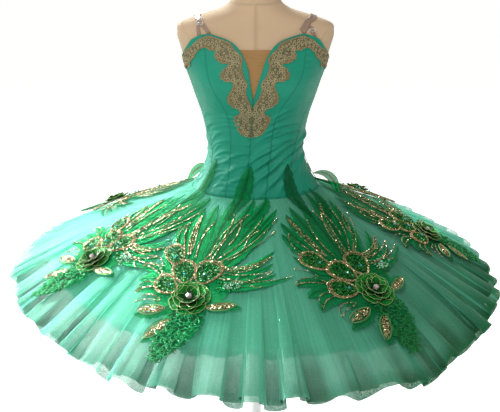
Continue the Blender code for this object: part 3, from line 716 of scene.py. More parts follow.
class Batch:
    """Shapes that end up in one mesh."""

    def __init__(self):
        self.points = []
        self.faces = []
        self.looks = []
        self.names = []
        self.count = 0

    def add(self, points, faces, look):
        """Points in rows of three, and faces as rows of point numbers."""
        points = np.asarray(points, float).reshape(-1, 3)
        faces = np.asarray(faces, int)
        if look not in self.names:
            self.names.append(look)
        self.points.append(points)
        self.faces += (faces + self.count).tolist()
        self.looks += [self.names.index(look)] * len(faces)
        self.count += len(points)

    def grid(self, points, look, closed=False):
        self.add(points, grid_faces(points.shape[0], points.shape[1], closed), look)

    def rod(self, points, look):
        """Rings of points with a face at each end."""
        self.grid(points, look, closed=True)
        sides = points.shape[1]
        first, last = self.count - points.shape[0] * sides, self.count - sides
        self.faces += [list(range(first, first + sides))[::-1], list(range(last, self.count))]
        self.looks += [self.names.index(look)] * 2

    def tube(self, path, radius, look, out, sides=4, closed=False):
        """A cord along a path. out points away from what it lies on."""
        path = np.asarray(path, float)
        if closed:
            along = unit(np.roll(path, -1, 0) - np.roll(path, 1, 0))
        else:
            along = unit(np.gradient(path, axis=0))
        beside = unit(np.cross(along, out))
        over = np.cross(beside, along)
        radius = np.broadcast_to(np.asarray(radius, float), len(path))[:, None, None]
        points = ring(path[:, None], radius, over[:, None], beside[:, None], sides)
        if closed:
            self.grid(np.concatenate([points, points[:1]]), look, closed=True)
        else:
            self.rod(points, look)

    def scatter(self, shape, faces, places, frames, sizes, look):
        """Copies of a small shape. frames holds the three axes of each copy."""
        shape = np.asarray(shape, float)
        sizes = np.broadcast_to(np.asarray(sizes, float), len(places))
        points = places[:, None] + sizes[:, None, None] * np.einsum("kj,nji->nki", shape, frames)
        starts = np.arange(len(places))[:, None, None] * len(shape)
        self.add(points, (np.asarray(faces)[None] + starts).reshape(-1, len(faces[0])), look)

    def piece(self, name, slot, replaces=(), values=None, cloth=None):
        mesh = bpy.data.meshes.new(name)
        mesh.from_pydata(np.concatenate(self.points).tolist(), [], self.faces)
        mesh.polygons.foreach_set("material_index", self.looks)
        faceted = {i for i, look in enumerate(self.names) if look in CUT_STONES}
        mesh.polygons.foreach_set("use_smooth", [look not in faceted for look in self.looks])
        for key, value in (values or {}).items():
            layer = mesh.attributes.new(key, "FLOAT", "POINT")
            layer.data.foreach_set("value", np.asarray(value, np.float32).ravel())
        if cloth is not None:
            corners = np.zeros(len(mesh.loops), np.int32)
            mesh.loops.foreach_get("vertex_index", corners)
            layer = mesh.uv_layers.new(name="cloth")
            layer.data.foreach_set("uv", cloth.reshape(-1, 2)[corners].astype(np.float32).ravel())
        for look in self.names:
            mesh.materials.append(LOOKS[look])
        made = put_in_scene(name, mesh)
        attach(made, "root")
        if replaces:
            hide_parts(*replaces)
        return made


def sheet_piece(name, slot, look, points, node, cloth, closed=False, values=None):
    """A grid of points as one piece of cloth, in place of a node."""
    batch = Batch()
    batch.grid(points, look, closed)
    return batch.piece(name, slot, (node,), values, cloth)


def turned_piece(name, slot, look, profile, columns):
    """A solid turned round the Z axis from (radius, height) points, bottom to top."""
    profile = np.array(profile)[..., None]
    batch = Batch()
    batch.rod(ring(profile[:, 1:] * UP, profile[:, :1], FRONT, RIGHT, columns), look)
    made = batch.piece(name, slot, (name,))
    made.data.set_sharp_from_angle(angle=math.radians(35))
    return made


def make_camera():
    camera = bpy.data.cameras.new("Camera")
    camera.sensor_width = SENSOR_WIDTH
    camera.lens = FOCAL_LENGTH / PHOTO_WIDTH * SENSOR_WIDTH
    camera.shift_x = (PHOTO_WIDTH / 2 - PHOTO_MIDDLE) / PHOTO_WIDTH
    made = put_in_scene("Camera", camera)
    made.location = CAMERA_PLACE
    made.rotation_euler = (math.radians(90 - CAMERA_TILT), 0, 0)
    bpy.context.scene.camera = made


def area_light(name, place, target, size, power, colour, spread):
    light = bpy.data.lights.new(name, "AREA")
    light.spread = math.radians(spread)
    light.shape = "DISK"
    light.size = size
    light.energy = power
    light.color = colour
    made = put_in_scene(name, light)
    made.location = place
    made.rotation_euler = (Vector(target) - Vector(place)).to_track_quat("-Z", "Y").to_euler()


def make_studio():
    scene = bpy.context.scene
    scene.view_settings.view_transform = "Standard"
    scene.cycles.transparent_max_bounces = 40
    world = bpy.data.worlds.new("Studio")
    world.use_nodes = True
    nodes = Nodes(world.node_tree)
    side = nodes.node("SeparateXYZ", {0: nodes.node("TexCoord", output="Generated")})
    colour = nodes.mix(nodes.range(side, -0.8, 0.6), (0.37, 0.45, 0.43), (0.32, 0.30, 0.24))
    nodes.put(nodes.tree.nodes["Background"], "Color", colour)
    scene.world = world
    for light in LIGHTS:
        area_light(*light)
    floor_look = Look("floor", Roughness=0.9, Emission_Strength=0.70)
    floor_look.set("Base Color", shaded(floor_look, (0.88, 0.88, 0.88), 0.01, 2))
    floor_look.set("Emission Color", (1, 1, 1))
    mesh = bpy.data.meshes.new("floor")
    corners = [(x * FLOOR_HALF, y * FLOOR_HALF, 0) for x, y in ((-1, -1), (1, -1), (1, 1), (-1, 1))]
    mesh.from_pydata(corners, [], [(0, 1, 2, 3)])
    mesh.materials.append(floor_look.material)
    floor = put_in_scene("floor", mesh)


def make_form():
    """The form's padded linen cover with its seams."""
    angle = np.linspace(-180, 180, FORM_COLUMNS, endpoint=False)[None, :]
    bottom, top = FORM_SECTIONS["height"][0], FORM_SECTIONS["height"][-1]
    covered = np.linspace(bottom, COVERED_TOP, COVERED_ROWS)[:-1]
    height = np.concatenate([covered, np.linspace(COVERED_TOP, top, FORM_ROWS)])[:, None]
    radius = form_radius(angle, height)
    neck_height, neck_dip = NECK_SEAM
    neck_line = neck_height + neck_dip * (1 - np.cos(np.radians(angle))) / 2
    front = np.abs(np.radians(angle)) * radius
    back = np.abs(np.radians(np.abs(angle) - 180)) * radius
    arm_line = read(ARM_SEAM, "angle", height)
    arm = np.abs(np.radians(np.abs(angle) - arm_line)) * radius
    arm = np.where((height > ARM_SEAM["height"][0]) & (height < ARM_SEAM["height"][-1]), arm, 1.0)
    below_neck = 1 / (1 + np.exp(-(neck_line - height) / 0.001))
    seams = np.stack(np.broadcast_arrays(
        bell(front, FORM_SEAM_WIDTH) * below_neck,
        bell(back, FORM_SEAM_WIDTH) * below_neck,
        bell(height - neck_line, FORM_SEAM_WIDTH),
        bell(arm, FORM_SEAM_WIDTH),
    )).max(0)
    points = on_form(angle, height, seams * FORM_SEAM_RISE)
    batch = Batch()
    batch.rod(points, "linen")
    cloth = cloth_map(angle, height, 0.15)
    cover = batch.piece("form_cover", "form_linen", ("form_torso",), {"seam": seams}, cloth)


def bevelled(radius, top):
    """The outer edge of a turned solid, bottom to top."""
    inset = STAND_BEVEL * 0.3
    return (radius, top - STAND_BEVEL), (radius - inset, top - inset), (radius - STAND_BEVEL, top)


def make_stand():
    base, pole, cap = (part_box(name) for name in ("stand_base", "stand_pole", "neck_cap"))
    radius, thickness = base[1].x, base[1].z
    turned_piece("stand_base", "stand_metal", "steel", (
        (radius - 0.001, base[0].z), (radius, 0.001), *bevelled(radius, thickness),
        (0.05, thickness + 0.0004),
    ), 120)
    collar, foot = pole[1].x, pole[0].z
    neck = foot + COLLAR_HEIGHT
    turned_piece("stand_pole", "stand_metal", "steel", (
        (collar, foot), *bevelled(collar, neck), (SHAFT_RADIUS, neck), (SHAFT_RADIUS, pole[1].z),
    ), 64)
    outer, low = cap[1].x, cap[0].z
    turned_piece("neck_cap", "cap_wood", "wood", (
        (outer - 0.001, low), (outer, low + 0.001), *bevelled(outer, cap[1].z),
    ), 96)


def column_top(left, right, share):
    """Heights at which a panel's columns meet the top edge."""
    height = np.full_like(share, TOP_EDGE["height"][0])
    for _ in range(40):
        angle = seam(left, height) * (1 - share) + seam(right, height) * share
        height = height + 0.5 * (top_height(angle) - height)
    return height


def crease_lift(angle, height):
    """How far the drag creases raise the bodice."""
    lift = np.zeros(np.broadcast(angle, height).shape)
    radius = form_radius(angle, height)
    for middle, at, slope, length, width, rise in CREASES:
        across = np.radians(wrapped(angle - middle)) * radius
        along, beside = turned(across, height - at, -math.radians(slope))
        beside = beside + CREASE_SAG * along * along / length
        strength = rise * (1.50 if middle > SHALLOW_ANGLE else 0.9)
        lift += strength * bell(along, length) * bell(beside, width * np.where(beside > 0, 1.15, 0.75))
    return lift


def make_panel(name, side, word, number):
    left, right = PANELS[name]
    even = np.linspace(0, 1, PANEL_COLUMNS)
    eased = (1 - np.cos(math.pi * even)) / 2
    share = ((1 - SEAM_CROWDING) * even + SEAM_CROWDING * eased)[None, :]
    rise = np.linspace(0, 1, PANEL_ROWS)[:, None]
    tops = column_top(left, right, share[0])[None, :]
    height = BASQUE_HEIGHT + (tops - BASQUE_HEIGHT) * rise
    start, end = seam(left, height), seam(right, height)
    radius = form_radius(start, height)
    angle = start * (1 - share) + end * share
    from_left = np.radians(angle - start) * radius
    from_right = np.radians(end - angle) * radius
    groove = np.maximum(bell(from_left, SEAM_GROOVE_WIDTH), bell(from_right, SEAM_GROOVE_WIDTH))
    hem = bell(height - BASQUE_HEIGHT, SEAM_GROOVE_WIDTH)
    pucker = np.zeros_like(angle)
    for index, distance in enumerate((from_left, from_right)):
        wander = ring_noise(number * 7 + index, 23, height * 3) * 2.0
        size = 0.5 + 0.5 * ring_noise(number * 5 + index, 17, height * 2.3)
        ripple = np.sin(2 * math.pi * height / PUCKER_SPACING + wander)
        pucker += PUCKER_RISE * size * ripple * np.exp(-distance / PUCKER_REACH) * (1 - groove)
    worn = side * angle + twist(height)
    lift = SATIN_FACE + crease_lift(worn, height) * (1 - 0.15 * groove) + pucker
    lift = lift - SEAM_GROOVE * np.maximum(groove, hem * 0.6)
    points = on_form(worn, height, lift)
    cloth = cloth_map(side * angle, height, 0.11)
    if side < 0:
        points, cloth, groove = points[:, ::-1], cloth[:, ::-1], groove[:, ::-1]
    node = f"bodice_{name}_{word}"
    made = sheet_piece(node + "_satin", "bodice_satin", "satin", points, node, cloth, values={"seam": groove})


def make_binding(side, word):
    """The rolled edge along the top of the bodice."""
    angle = np.concatenate([np.linspace(0, 20, 70), np.linspace(20.5, 180, 190)])
    height = top_height(angle)
    kernel = np.hanning(9)
    kernel = kernel / kernel.sum()
    height[4:-4] = np.convolve(height, kernel, "valid")
    worn = side * angle + twist(height)
    middle, out = on_form(worn, height, CLOTH_LIFT + CLOTH_WALL * 0.6), form_normal(worn, height)
    beside = unit(np.cross(unit(np.gradient(middle, axis=0)), out))
    middle = middle - beside * np.sign(beside @ UP)[:, None] * BINDING_WIDTH * 0.30
    half_up, half_wide = out * BINDING_THICKNESS / 2, beside * BINDING_WIDTH / 2
    sides = 10
    batch = Batch()
    batch.rod(ring(middle[:, None], 1, half_up[:, None], half_wide[:, None], sides), "satin")
    cloth = paired(np.arange(len(angle))[:, None] * 0.002, circle(sides) * 0.001)
    batch.piece(f"binding_{word}_roll", "bodice_satin", (f"binding_{word}",),
                {"seam": np.zeros(batch.count)}, cloth)


def make_insert():
    """The nude mesh panel behind the V, with level gathers."""
    rows, columns = 120, 50
    height = np.linspace(INSERT_FOOT, INSERT_TOP, rows)[:, None]
    edge = np.interp(height, TOP_EDGE["height"][:V_STATIONS], TOP_EDGE["angle"][:V_STATIONS])
    across = np.linspace(-1, 1, columns)[None, :]
    half = edge + INSERT_TUCK
    angle = twist(height) + half * across
    bend = 0.004 * across**2
    wander = 1.4 * ring_noise(5, 9, across * 0.4) + 2.2 * ring_noise(8, 14, height * 6)
    fold = np.cos(2 * math.pi * (height + bend) / GATHER_SPACING + wander)
    size = 0.35 + 0.65 * ring_noise(9, 21, height * 7 + across * 0.1) ** 2
    roll = bell(height - INSERT_TOP, 0.002) * 0.0007
    lift = INSERT_LIFT + GATHER_HEIGHT * fold * size + roll
    points = on_form(angle, height, lift)
    cloth = cloth_map(angle, height, 0.11)
    made = sheet_piece("neckline_mesh", "nude_mesh", "mesh", points, "neckline_insert", cloth)


def strip_points(route, columns, raised_ends):
    """Rows of points for a flat strip along a route over the form, with the direction out of it."""
    stations = np.linspace(0, 1, len(route))
    share = np.linspace(0, 1, columns + 1)
    angle = smooth(stations, [p[0] for p in route], share)
    height = smooth(stations, [p[1] for p in route], share)
    skin, out = form_skin(angle, height), form_normal(angle, height)
    beside = unit(np.cross(np.gradient(skin, axis=0), out))
    lift = np.full(columns + 1, STRAP_LIFT)
    for raised, distance in zip(raised_ends, (share, 1 - share)):
        lift = lift + raised * (CLOTH_LIFT - STRAP_LIFT) * np.maximum(0, 1 - distance / STRAP_END_FADE)
    return skin + out * lift[:, None], out, beside, share


def make_straps():
    over = tuple(zip(STRAP_OVER_SHOULDER["angle"], STRAP_OVER_SHOULDER["height"]))
    side_half = ((-1, 0.1), (-1, 0.75), (-0.86, 1), (-0.8, 0.8))
    section = (*side_half, (0, 0.85), *((-x, y) for x, y in side_half[::-1]))
    for name, route in STRAP_ROUTES.items():
        leg = name.endswith("leg")
        side = -1 if "left" in name else 1
        whole = route if leg else route + tuple((side * a, h) for a, h in over)
        width = LEG_WIDTH if leg else STRAP_WIDTH
        middle, out, beside, share = strip_points(whole, 12 if leg else 90, (name != "strap_left", not leg))
        points = np.stack([middle + beside * (x * width / 2) + out * (y * STRAP_WALL) for x, y in section], 1)
        cloth = paired(share[:, None] * 0.35, np.arange(len(section)) * 0.0015)
        batch = Batch()
        batch.rod(points, "strap")
        made = batch.piece(name + "_satin", "strap_satin", (name,), {"seam": np.zeros(batch.count)}, cloth)


def make_sliders():
    """Two-slot strap sliders of bent wire."""
    for name, (angle, height) in SLIDER_PLACES.items():
        out = form_normal(angle, height)
        across = unit(np.cross(UP, out))
        rise = np.cross(out, across)
        length, breadth, thickness = SLIDER_SIZE
        middle = on_form(angle, height, STRAP_LIFT + STRAP_WALL + 3 * SEAM_GAP + thickness / 2)
        batch = Batch()
        turn = circle(40)[:, None]
        x, y = (np.sign(v) * np.abs(v) ** 0.5 / 2 for v in (np.cos(turn), np.sin(turn)))
        wire = middle + x * (length - thickness) * across + y * (breadth - thickness * 0.6) * rise
        batch.tube(wire, thickness * 0.42, "chrome", out, sides=8, closed=True)
        bar = middle + np.linspace(-0.5, 0.5, 8)[:, None] * (length - thickness) * across
        batch.tube(bar, thickness * 0.4, "chrome", out, sides=8)
        batch.piece(name + "_metal", "slider_metal", (name,))


def make_yoke():
    rows, columns = YOKE_GRID
    angle = np.linspace(-180, 180, columns, endpoint=False)[None, :]
    height = np.linspace(YOKE_FOOT, BASQUE_HEIGHT - SEAM_GAP, rows)[:, None]
    points = on_form(angle, height, np.full(YOKE_GRID, CLOTH_LIFT + CLOTH_WALL / 2))
    cloth = cloth_map(angle, height, 0.14)
    made = sheet_piece("hip_yoke_satin", "bodice_satin", "satin", points, "hip_yoke", cloth, closed=True,
                       values={"seam": np.zeros(points.size // 3)})


def make_placket():
    """The strip over the back opening, with its hooks."""
    rows = 90
    top = TOP_EDGE["height"][-1] - 0.002
    height = np.linspace(BASQUE_HEIGHT + 0.004, top, rows)[:, None]
    radius = form_radius(180.0, height)
    across = np.array([-1, -0.93, -STITCH_PLACE, -0.5, 0, 0.5, STITCH_PLACE, 0.93, 1])[None, :]
    angle = 180 + twist(height) + across * np.degrees(0.5 * PLACKET_WIDTH / radius)
    edge = np.where(np.abs(across) > 0.95, -0.0006, 0.0)
    stitch = np.where(np.abs(np.abs(across) - STITCH_PLACE) < 0.01, -0.0003, 0.0)
    base = SATIN_FACE + PLACKET_LIFT
    lift = base + edge + stitch + 0.0002 * np.sin(height * 700 + across * 2)
    points = on_form(angle, height, lift)
    cloth = cloth_map(angle, height, 0.09)
    strip = sheet_piece("back_placket_satin", "bodice_satin", "satin", points, "back_placket", cloth,
                        values={"seam": np.broadcast_to(-stitch * 2500, points.shape[:2])})
    batch = Batch()
    for at in np.linspace(BASQUE_HEIGHT + HOOK_MARGINS[0], top - HOOK_MARGINS[1], HOOKS):
        middle = 180 + float(twist(at))
        out = form_normal(middle, at)
        beside = unit(np.cross(UP, out))
        seat = on_form(middle, at, base + 0.0004)
        for side in (-1, 1):
            eye = ring(seat + side * HOOK_HALF_GAP * beside, HOOK_EYE_RADIUS, beside, UP, 14)
            batch.tube(eye, 0.00035, "chrome", out, closed=True)
        bar = seat + np.linspace(-0.5, 0.5, 6)[:, None] * HOOK_LENGTH * beside
        batch.tube(bar, 0.0005, "chrome", out)
    hooks = batch.piece("back_hooks", "slider_metal")


def lace_place(side, share, across, lift):
    """Points on the lace, share along it and across from its near to its far edge."""
    near, far = (
        [read(table, key, share, "share") for key in ("angle", "height")] for table in (LACE_NEAR, LACE_FAR)
    )
    scallop = np.abs(np.sin(math.pi * LACE_SCALLOPS * share))
    across = across * (1 + 0.11 * scallop) - 0.05 * scallop * (1 - across) * (share < 0.76)
    angle, height = (start + (end - start) * across for start, end in zip(near, far))
    worn = side * angle + twist(height)
    cloth = cloth_map(worn, height, 0.125)
    return on_form(worn, height, SATIN_FACE + LACE_LIFT + lift), form_normal(worn, height), cloth


def make_lace(side, word):
    """Corded lace: a ground of small loops, picots along both edges and a row of larger rings."""
    rows, columns = 12, 440
    share, across = np.broadcast_arrays(np.linspace(0, 1, columns)[None, :], np.linspace(0, 1, rows)[:, None])
    points, _, cloth = lace_place(side, share, across, np.zeros(share.shape))
    border = np.clip(0.75 * bell(1 - across, 0.16) + 0.5 * bell(across, 0.10) * (share < 0.78), 0, 1)
    ground = sheet_piece(f"lace_ground_{word}", "gold_lace", "lace_ground", points, f"lace_trim_{word}",
                         cloth, values={"border": border})
    batch = Batch()
    for at, reach, end in ((0.0, -0.045, 0.79), (1.0, 0.045, 0.998)):
        s = np.linspace(0.002, end, 900)
        phase = 2 * math.pi * PICOTS * s
        a = at + reach * (0.3 + (1 - np.cos(phase)) / 2)
        path, out, _ = lace_place(side, np.clip(s + 0.0018 * np.sin(phase), 0, 1), a, 0.0003)
        batch.tube(path, CORD_RADIUS, "lace_edge", out)
        s = s[::3]
        path, out, _ = lace_place(side, s, np.full(len(s), at - reach * 0.4), 0.0006)
        batch.tube(path, CORD_RADIUS, "lace_edge", out)
    for i in range(LACE_RINGS - 3):
        middle = np.array([(i + 0.5) / LACE_RINGS])
        at = np.array([RING_PLACES[i % 3] + 0.06 * math.sin(2.7 * i)])
        seat, out, _ = lace_place(side, middle, at, 0.0005)
        along = unit(lace_place(side, middle + 0.004, at, 0.0005)[0] - seat)
        loop = ring(seat, 0.0026 + 0.0008 * math.sin(1.9 * i), along, np.cross(out, along), 18)
        batch.tube(loop, CORD_RADIUS, "lace_cord", np.broadcast_to(out, loop.shape), closed=True)
    cords = batch.piece(f"lace_cords_{word}", "gold_lace")


def hem_radius(angle, radius):
    return read(HEM_OUTLINE, "radius", wrapped(angle), "angle") * radius / MEAN_HEM_RADIUS


def right_side_shade(angle):
    """Painted shade round the skirt: 0 on the lit left side, 1 on its darker, shaded right side, and 0 again
    behind.
    """
    angle = wrapped(np.asarray(angle))
    behind = np.clip((angle - SHADE_END) / SHADE_FADE, 0, 1)
    return np.clip(SHADE_MEAN + SHADE_SWING * np.sin(np.radians(angle - SHADE_TURN)), 0, 1) * (1 - behind)


def net_skin(layer, angle, share):
    """Points on a net layer without its folds, and the direction out of it."""
    head_height, radius, hem_height, _, _ = NET_LAYERS[layer]
    turn = np.radians(angle)
    out = np.stack([np.sin(turn), -np.cos(turn), np.zeros_like(turn)], -1)
    head = on_form(angle, head_height, np.full(angle.shape, NET_HEAD_LIFT))
    hem = out * hem_radius(angle, radius)[..., None] + UP * (WAIST_HEIGHT + hem_height)
    fall = (1 - HEM_ROUNDING) * share + HEM_ROUNDING * share**4
    point = head + (hem - head) * share[..., None]
    point[..., 2] = head[..., 2] + (hem[..., 2] - head[..., 2]) * fall
    steepness = (1 - HEM_ROUNDING) + 4 * HEM_ROUNDING * share**3
    down = (head[..., 2] - hem[..., 2]) * steepness
    level = np.linalg.norm((hem - head)[..., :2], axis=-1)
    return point, unit(out * down[..., None] + UP * level[..., None])


def make_net(layer, slot):
    """One gathered net: flutes whose sides fold over, with fine gathers by the waist."""
    _, _, _, flutes, flute_height = NET_LAYERS[layer]
    seed, flute_columns, rings, head_cover, hem_cover, cut, depth = NET_LOOKS[layer]
    columns = flutes * flute_columns
    turn_share = np.arange(columns)[None, :] / columns
    share = np.linspace(0, 1, rings)[:, None] ** RING_POWER
    share[-2] = EDGE_SHARE
    phase = 2 * math.pi * flutes * turn_share + math.pi / 4

    def noise(step, knots, at=turn_share):
        return ring_noise(seed + step, knots, at)

    sway = 1.4 * noise(0, flutes, turn_share + 0.02 * share) + 0.4 * noise(1, 2 * flutes)
    waved = phase + sway
    fold = 0.45 + 0.55 * noise(2, 2 * flutes) + 0.25 * noise(3, 17)
    size = 0.90 + 0.60 * noise(4, flutes)
    grown = share**FOLD_GROWTH
    near_head = np.exp(-share / GATHER_REACH)
    open_up = 0.25 + 0.75 * share
    fine_phase = GATHERS_A_FLUTE * phase + 2.5 * noise(5, 2 * flutes)
    fine_size = 0.6 + 0.4 * noise(6, 5 * flutes)
    flute_turn = 360 / flutes / (2 * math.pi)
    angle = 360 * turn_share + flute_turn * fold * open_up * np.sin(2 * waved)
    angle = angle + 0.7 * flute_turn / GATHERS_A_FLUTE * fine_size * near_head * np.sin(2 * fine_phase)
    ragged = 1 + HEM_RAG * share**3 * (noise(7, flutes) + 0.6 * noise(9, 2 * flutes))
    point, out = net_skin(layer, angle, np.broadcast_to(share * ragged, angle.shape))
    lift = flute_height * grown * size * np.cos(waved)
    lift = lift + GATHER_RISE * (near_head + 0.2 * share) * fine_size * np.cos(fine_phase)
    points = point + out * lift[..., None]
    bunched = noise(8, flutes)
    # Painted shade: the net grows darker and more opaque towards the skirt's right side, in the flute valleys
    # and towards the hem, and greyer where shade shows through on the left; a painted highlight lightens it
    # near the waist on the left and along fold lines seen edge-on.
    right_shade = right_side_shade(angle)
    closed_ring = np.concatenate([angle[:, -1:] - 360, angle, angle[:, :1] + 360], 1)
    edge_on = bell((closed_ring[:, 2:] - closed_ring[:, :-2]) * columns / (2 * 360), FOLD_LINE)
    beyond = np.clip((share - INNER_END) / GREY_SHADE_FADE, 0, 1)
    inside = np.clip((share - INNER_END) / INNER_FADE, 0, 1)
    inside = inside * np.clip(0.5 - 1.6 * (np.cos(waved) + 0.15), 0, 1)
    valley = 0.75 * inside + 0.25 * np.clip(0.5 - 0.8 * np.cos(waved), 0, 1) * share**4
    valley = valley * (0.8 + 0.5 * bunched)
    edge = (share >= EDGE_SHARE) * 1.0
    cover = hem_cover + (head_cover - hem_cover) * (1 - share) ** 1.3 + 0.05 * bunched
    added = 0.66 * right_shade + 0.55 * edge_on + 0.35 * valley * (1 - right_shade) + 0.25 * edge
    cover = cover + (1 - cover) * added
    shadow = right_shade * (0.56 + 0.28 * share**4) + depth * valley * (1 - 0.5 * right_shade) - 0.50 * edge_on
    shadow = shadow + 0.12 * share**4 - 0.10 * (1 - right_shade) * (1 - share) + 0.25 * edge
    shadow = np.clip(shadow, 0, 1)
    grey_shade = np.clip((0.70 * valley + 0.34 * beyond) * (1 - right_shade) - 0.3 * edge_on, 0, 1)
    cloth = paired(turn_share * cut, share * NET_LENGTH)
    look = "outer_net" if slot == "long_net" else "inner_net"
    values = {"cover": cover[::-1], "shadow": shadow[::-1], "grey_shade": grey_shade[::-1]}
    made = sheet_piece(layer + "_folds", slot, look, points[::-1], layer, cloth[::-1], True, values)


def overlay_length():
    head_height, radius, hem_height = NET_LAYERS["overlay_net"][:3]
    return math.hypot(radius - float(form_skin(90.0, head_height)[0]), hem_height - head_height)


OVERLAY_LENGTH = overlay_length()
HEAD_UP = (APPLIQUE_PLACE - HEAD_SHARE) * OVERLAY_LENGTH


def skirt_place(middle_angle, across, up):
    """Points over the overlay's crests, placed from the rose.

    What reaches past the head goes on up the bodice.
    """
    share = APPLIQUE_PLACE - up / OVERLAY_LENGTH
    on_skirt = np.maximum(share, HEAD_SHARE)
    middle = np.full(on_skirt.shape, float(middle_angle))
    base, _ = net_skin("overlay_net", middle, on_skirt)
    radius = np.linalg.norm(base[..., :2], axis=-1)
    angle = middle_angle + np.degrees(across / radius)
    point, out = net_skin("overlay_net", angle, on_skirt)
    crest = NET_LAYERS["overlay_net"][4] * on_skirt**WAVE_GROWTH
    point = point + out * (crest + APPLIQUE_CLEARANCE)[..., None]
    over = np.maximum(HEAD_SHARE - share, 0) * OVERLAY_LENGTH
    height = NET_LAYERS["overlay_net"][0] + over
    worn = on_form(angle, height, SATIN_FACE + WORN_CLEARANCE + crease_lift(angle, height))
    return np.where((share < HEAD_SHARE)[..., None], worn, point)


class Ground:
    """What an applique lies on, as a table of points and directions round its rose."""

    step = 0.004
    left, foot = -0.30, -0.20

    def __init__(self, middle_angle):
        steps = self.step * np.arange(151)
        across, up = np.meshgrid(self.left + steps, self.foot + steps)
        self.points = skirt_place(middle_angle, across, up)
        rise, beside = np.gradient(self.points, axis=(0, 1))
        self.outs = unit(np.cross(beside, rise))
        self.besides = unit(beside)

    def read(self, table, across, up):
        row, column = np.subtract(up, self.foot) / self.step, np.subtract(across, self.left) / self.step
        i = np.clip(row.astype(int), 0, table.shape[0] - 2)
        j = np.clip(column.astype(int), 0, table.shape[1] - 2)
        s, t = (row - i)[..., None], (column - j)[..., None]
        low = table[i, j] * (1 - t) + table[i, j + 1] * t
        high = table[i + 1, j] * (1 - t) + table[i + 1, j + 1] * t
        return low * (1 - s) + high * s

    def place(self, across, up, lift):
        across, up, lift = np.broadcast_arrays(*(np.asarray(v, float) for v in (across, up, lift)))
        return self.read(self.points, across, up) + self.out(across, up) * lift[..., None]

    def out(self, across, up):
        return unit(self.read(self.outs, across, up))

    def beside(self, across, up):
        return unit(self.read(self.besides, across, up))


# Feathers of tulle, from the rose: across and up where each starts and ends, half width, bend, darkness and
# where along it the feather is widest, as a power
FEATHERS = (
    (-0.045, 0.080, -0.088, 0.190, 0.017, 0.012, 0.0, 0.85),
    (-0.040, 0.080, -0.070, 0.222, 0.018, 0.010, 0.0, 0.9),
    (-0.034, 0.080, -0.048, 0.246, 0.018, 0.008, 0.0, 0.85),
    (-0.022, 0.070, -0.024, 0.264, 0.019, 0.006, 0.1, 0.9),
    (-0.008, 0.070, 0.006, 0.284, 0.019, -0.004, 0.2, 0.85),
    (0.006, 0.196, 0.028, 0.364, 0.019, 0.006, 0.60, 1.9),
    (0.010, 0.070, 0.036, 0.292, 0.020, -0.006, 0.2, 0.85),
    (0.034, 0.190, 0.058, 0.288, 0.016, -0.008, 0.4, 1.3),
    (0.016, 0.070, 0.062, 0.276, 0.020, -0.010, 0.0, 0.85),
    (0.020, 0.070, 0.082, 0.254, 0.019, -0.008, 0.1, 0.9),
    (0.022, 0.070, 0.090, 0.230, 0.017, -0.008, 0.1, 0.85),
    (0.024, 0.070, 0.080, 0.190, 0.016, -0.008, 0.0, 0.9),
    (0.026, 0.062, 0.112, 0.136, 0.014, -0.014, 0.0, 0.9),
    (0.030, 0.056, 0.126, 0.110, 0.014, -0.014, 0.0, 0.85),
    (0.036, 0.040, 0.142, 0.082, 0.011, -0.010, 0.1, 0.85),
    (0.036, 0.034, 0.172, 0.062, 0.008, -0.008, 0.0, 0.85),
    (-0.070, 0.036, -0.142, 0.040, 0.016, -0.012, 0.0, 0.85),
    (-0.060, 0.016, -0.134, 0.012, 0.017, -0.012, 0.0, 0.85),
    (-0.060, 0.000, -0.130, -0.022, 0.017, -0.014, 0.1, 0.85),
    (-0.050, 0.060, -0.104, 0.120, 0.013, 0.008, 0.1, 0.85),
    (-0.030, -0.020, -0.106, -0.066, 0.018, 0.004, 0.2, 0.85),
    (-0.014, -0.040, -0.060, -0.116, 0.018, 0.004, 0.2, 0.85),
    (0.030, -0.010, 0.100, -0.002, 0.015, 0.004, 0.1, 0.85),
)
# Lines of gold: start, end, half width, bend, and whether one line, an outlined leaf or a filled one
GOLD_LINES = (
    (-0.040, 0.108, -0.052, 0.222, 0.0060, 0.004, "full"),
    (-0.050, 0.104, -0.074, 0.184, 0.0100, 0.014, "outline"),
    (-0.024, 0.104, -0.020, 0.214, 0.0050, 0.008, "line"),
    (-0.004, 0.104, 0.014, 0.236, 0.0050, -0.010, "line"),
    (0.008, 0.104, 0.040, 0.246, 0.0060, 0.010, "outline"),
    (0.016, 0.104, 0.064, 0.232, 0.0050, -0.012, "line"),
    (0.030, 0.150, 0.030, 0.226, 0.0050, -0.006, "line"),
    (0.024, 0.100, 0.088, 0.230, 0.0050, -0.014, "line"),
    (0.028, 0.098, 0.100, 0.192, 0.0060, -0.008, "line"),
    (0.062, 0.140, 0.072, 0.196, 0.0050, 0.008, "line"),
    (0.034, 0.086, 0.118, 0.112, 0.0070, -0.016, "full"),
    (0.040, 0.070, 0.132, 0.084, 0.0080, -0.012, "outline"),
    (0.040, 0.058, 0.170, 0.066, 0.0050, -0.008, "line"),
    (0.092, 0.060, 0.126, 0.040, 0.0040, -0.008, "line"),
    (-0.082, 0.040, -0.142, 0.040, 0.0065, -0.012, "outline"),
    (-0.080, 0.010, -0.126, -0.020, 0.0070, -0.012, "outline"),
    (-0.060, -0.018, -0.108, -0.040, 0.0060, -0.010, "outline"),
    (-0.060, 0.116, -0.100, 0.134, 0.0040, 0.010, "line"),
    (-0.088, 0.060, -0.118, 0.078, 0.0050, -0.008, "line"),
)
# How far the long feather on the bodice leans aside on one applique
WORN_TIP = 0.32
TIP_SHIFT = {3: -0.020}
# Away from the front a leaf bridges the corner between skirt and bodice: where it starts and ends
SIDE_ANGLE = 80
FREE_LEAF = (-0.004, 0.246, -0.004, 0.314)
FREE_BOW = 0.018
WIDE_BOW = {4: 0.030}
FREE_HALF_WIDTH = 0.014
# Leaves filled with gold sequins: middle across and up, direction, half length and half width
GOLD_LEAVES = (
    (-0.070, -0.044, 200, 0.032, 0.0115),
    (-0.040, -0.080, 234, 0.032, 0.0110),
    (0.064, -0.010, 12, 0.029, 0.0095),
)
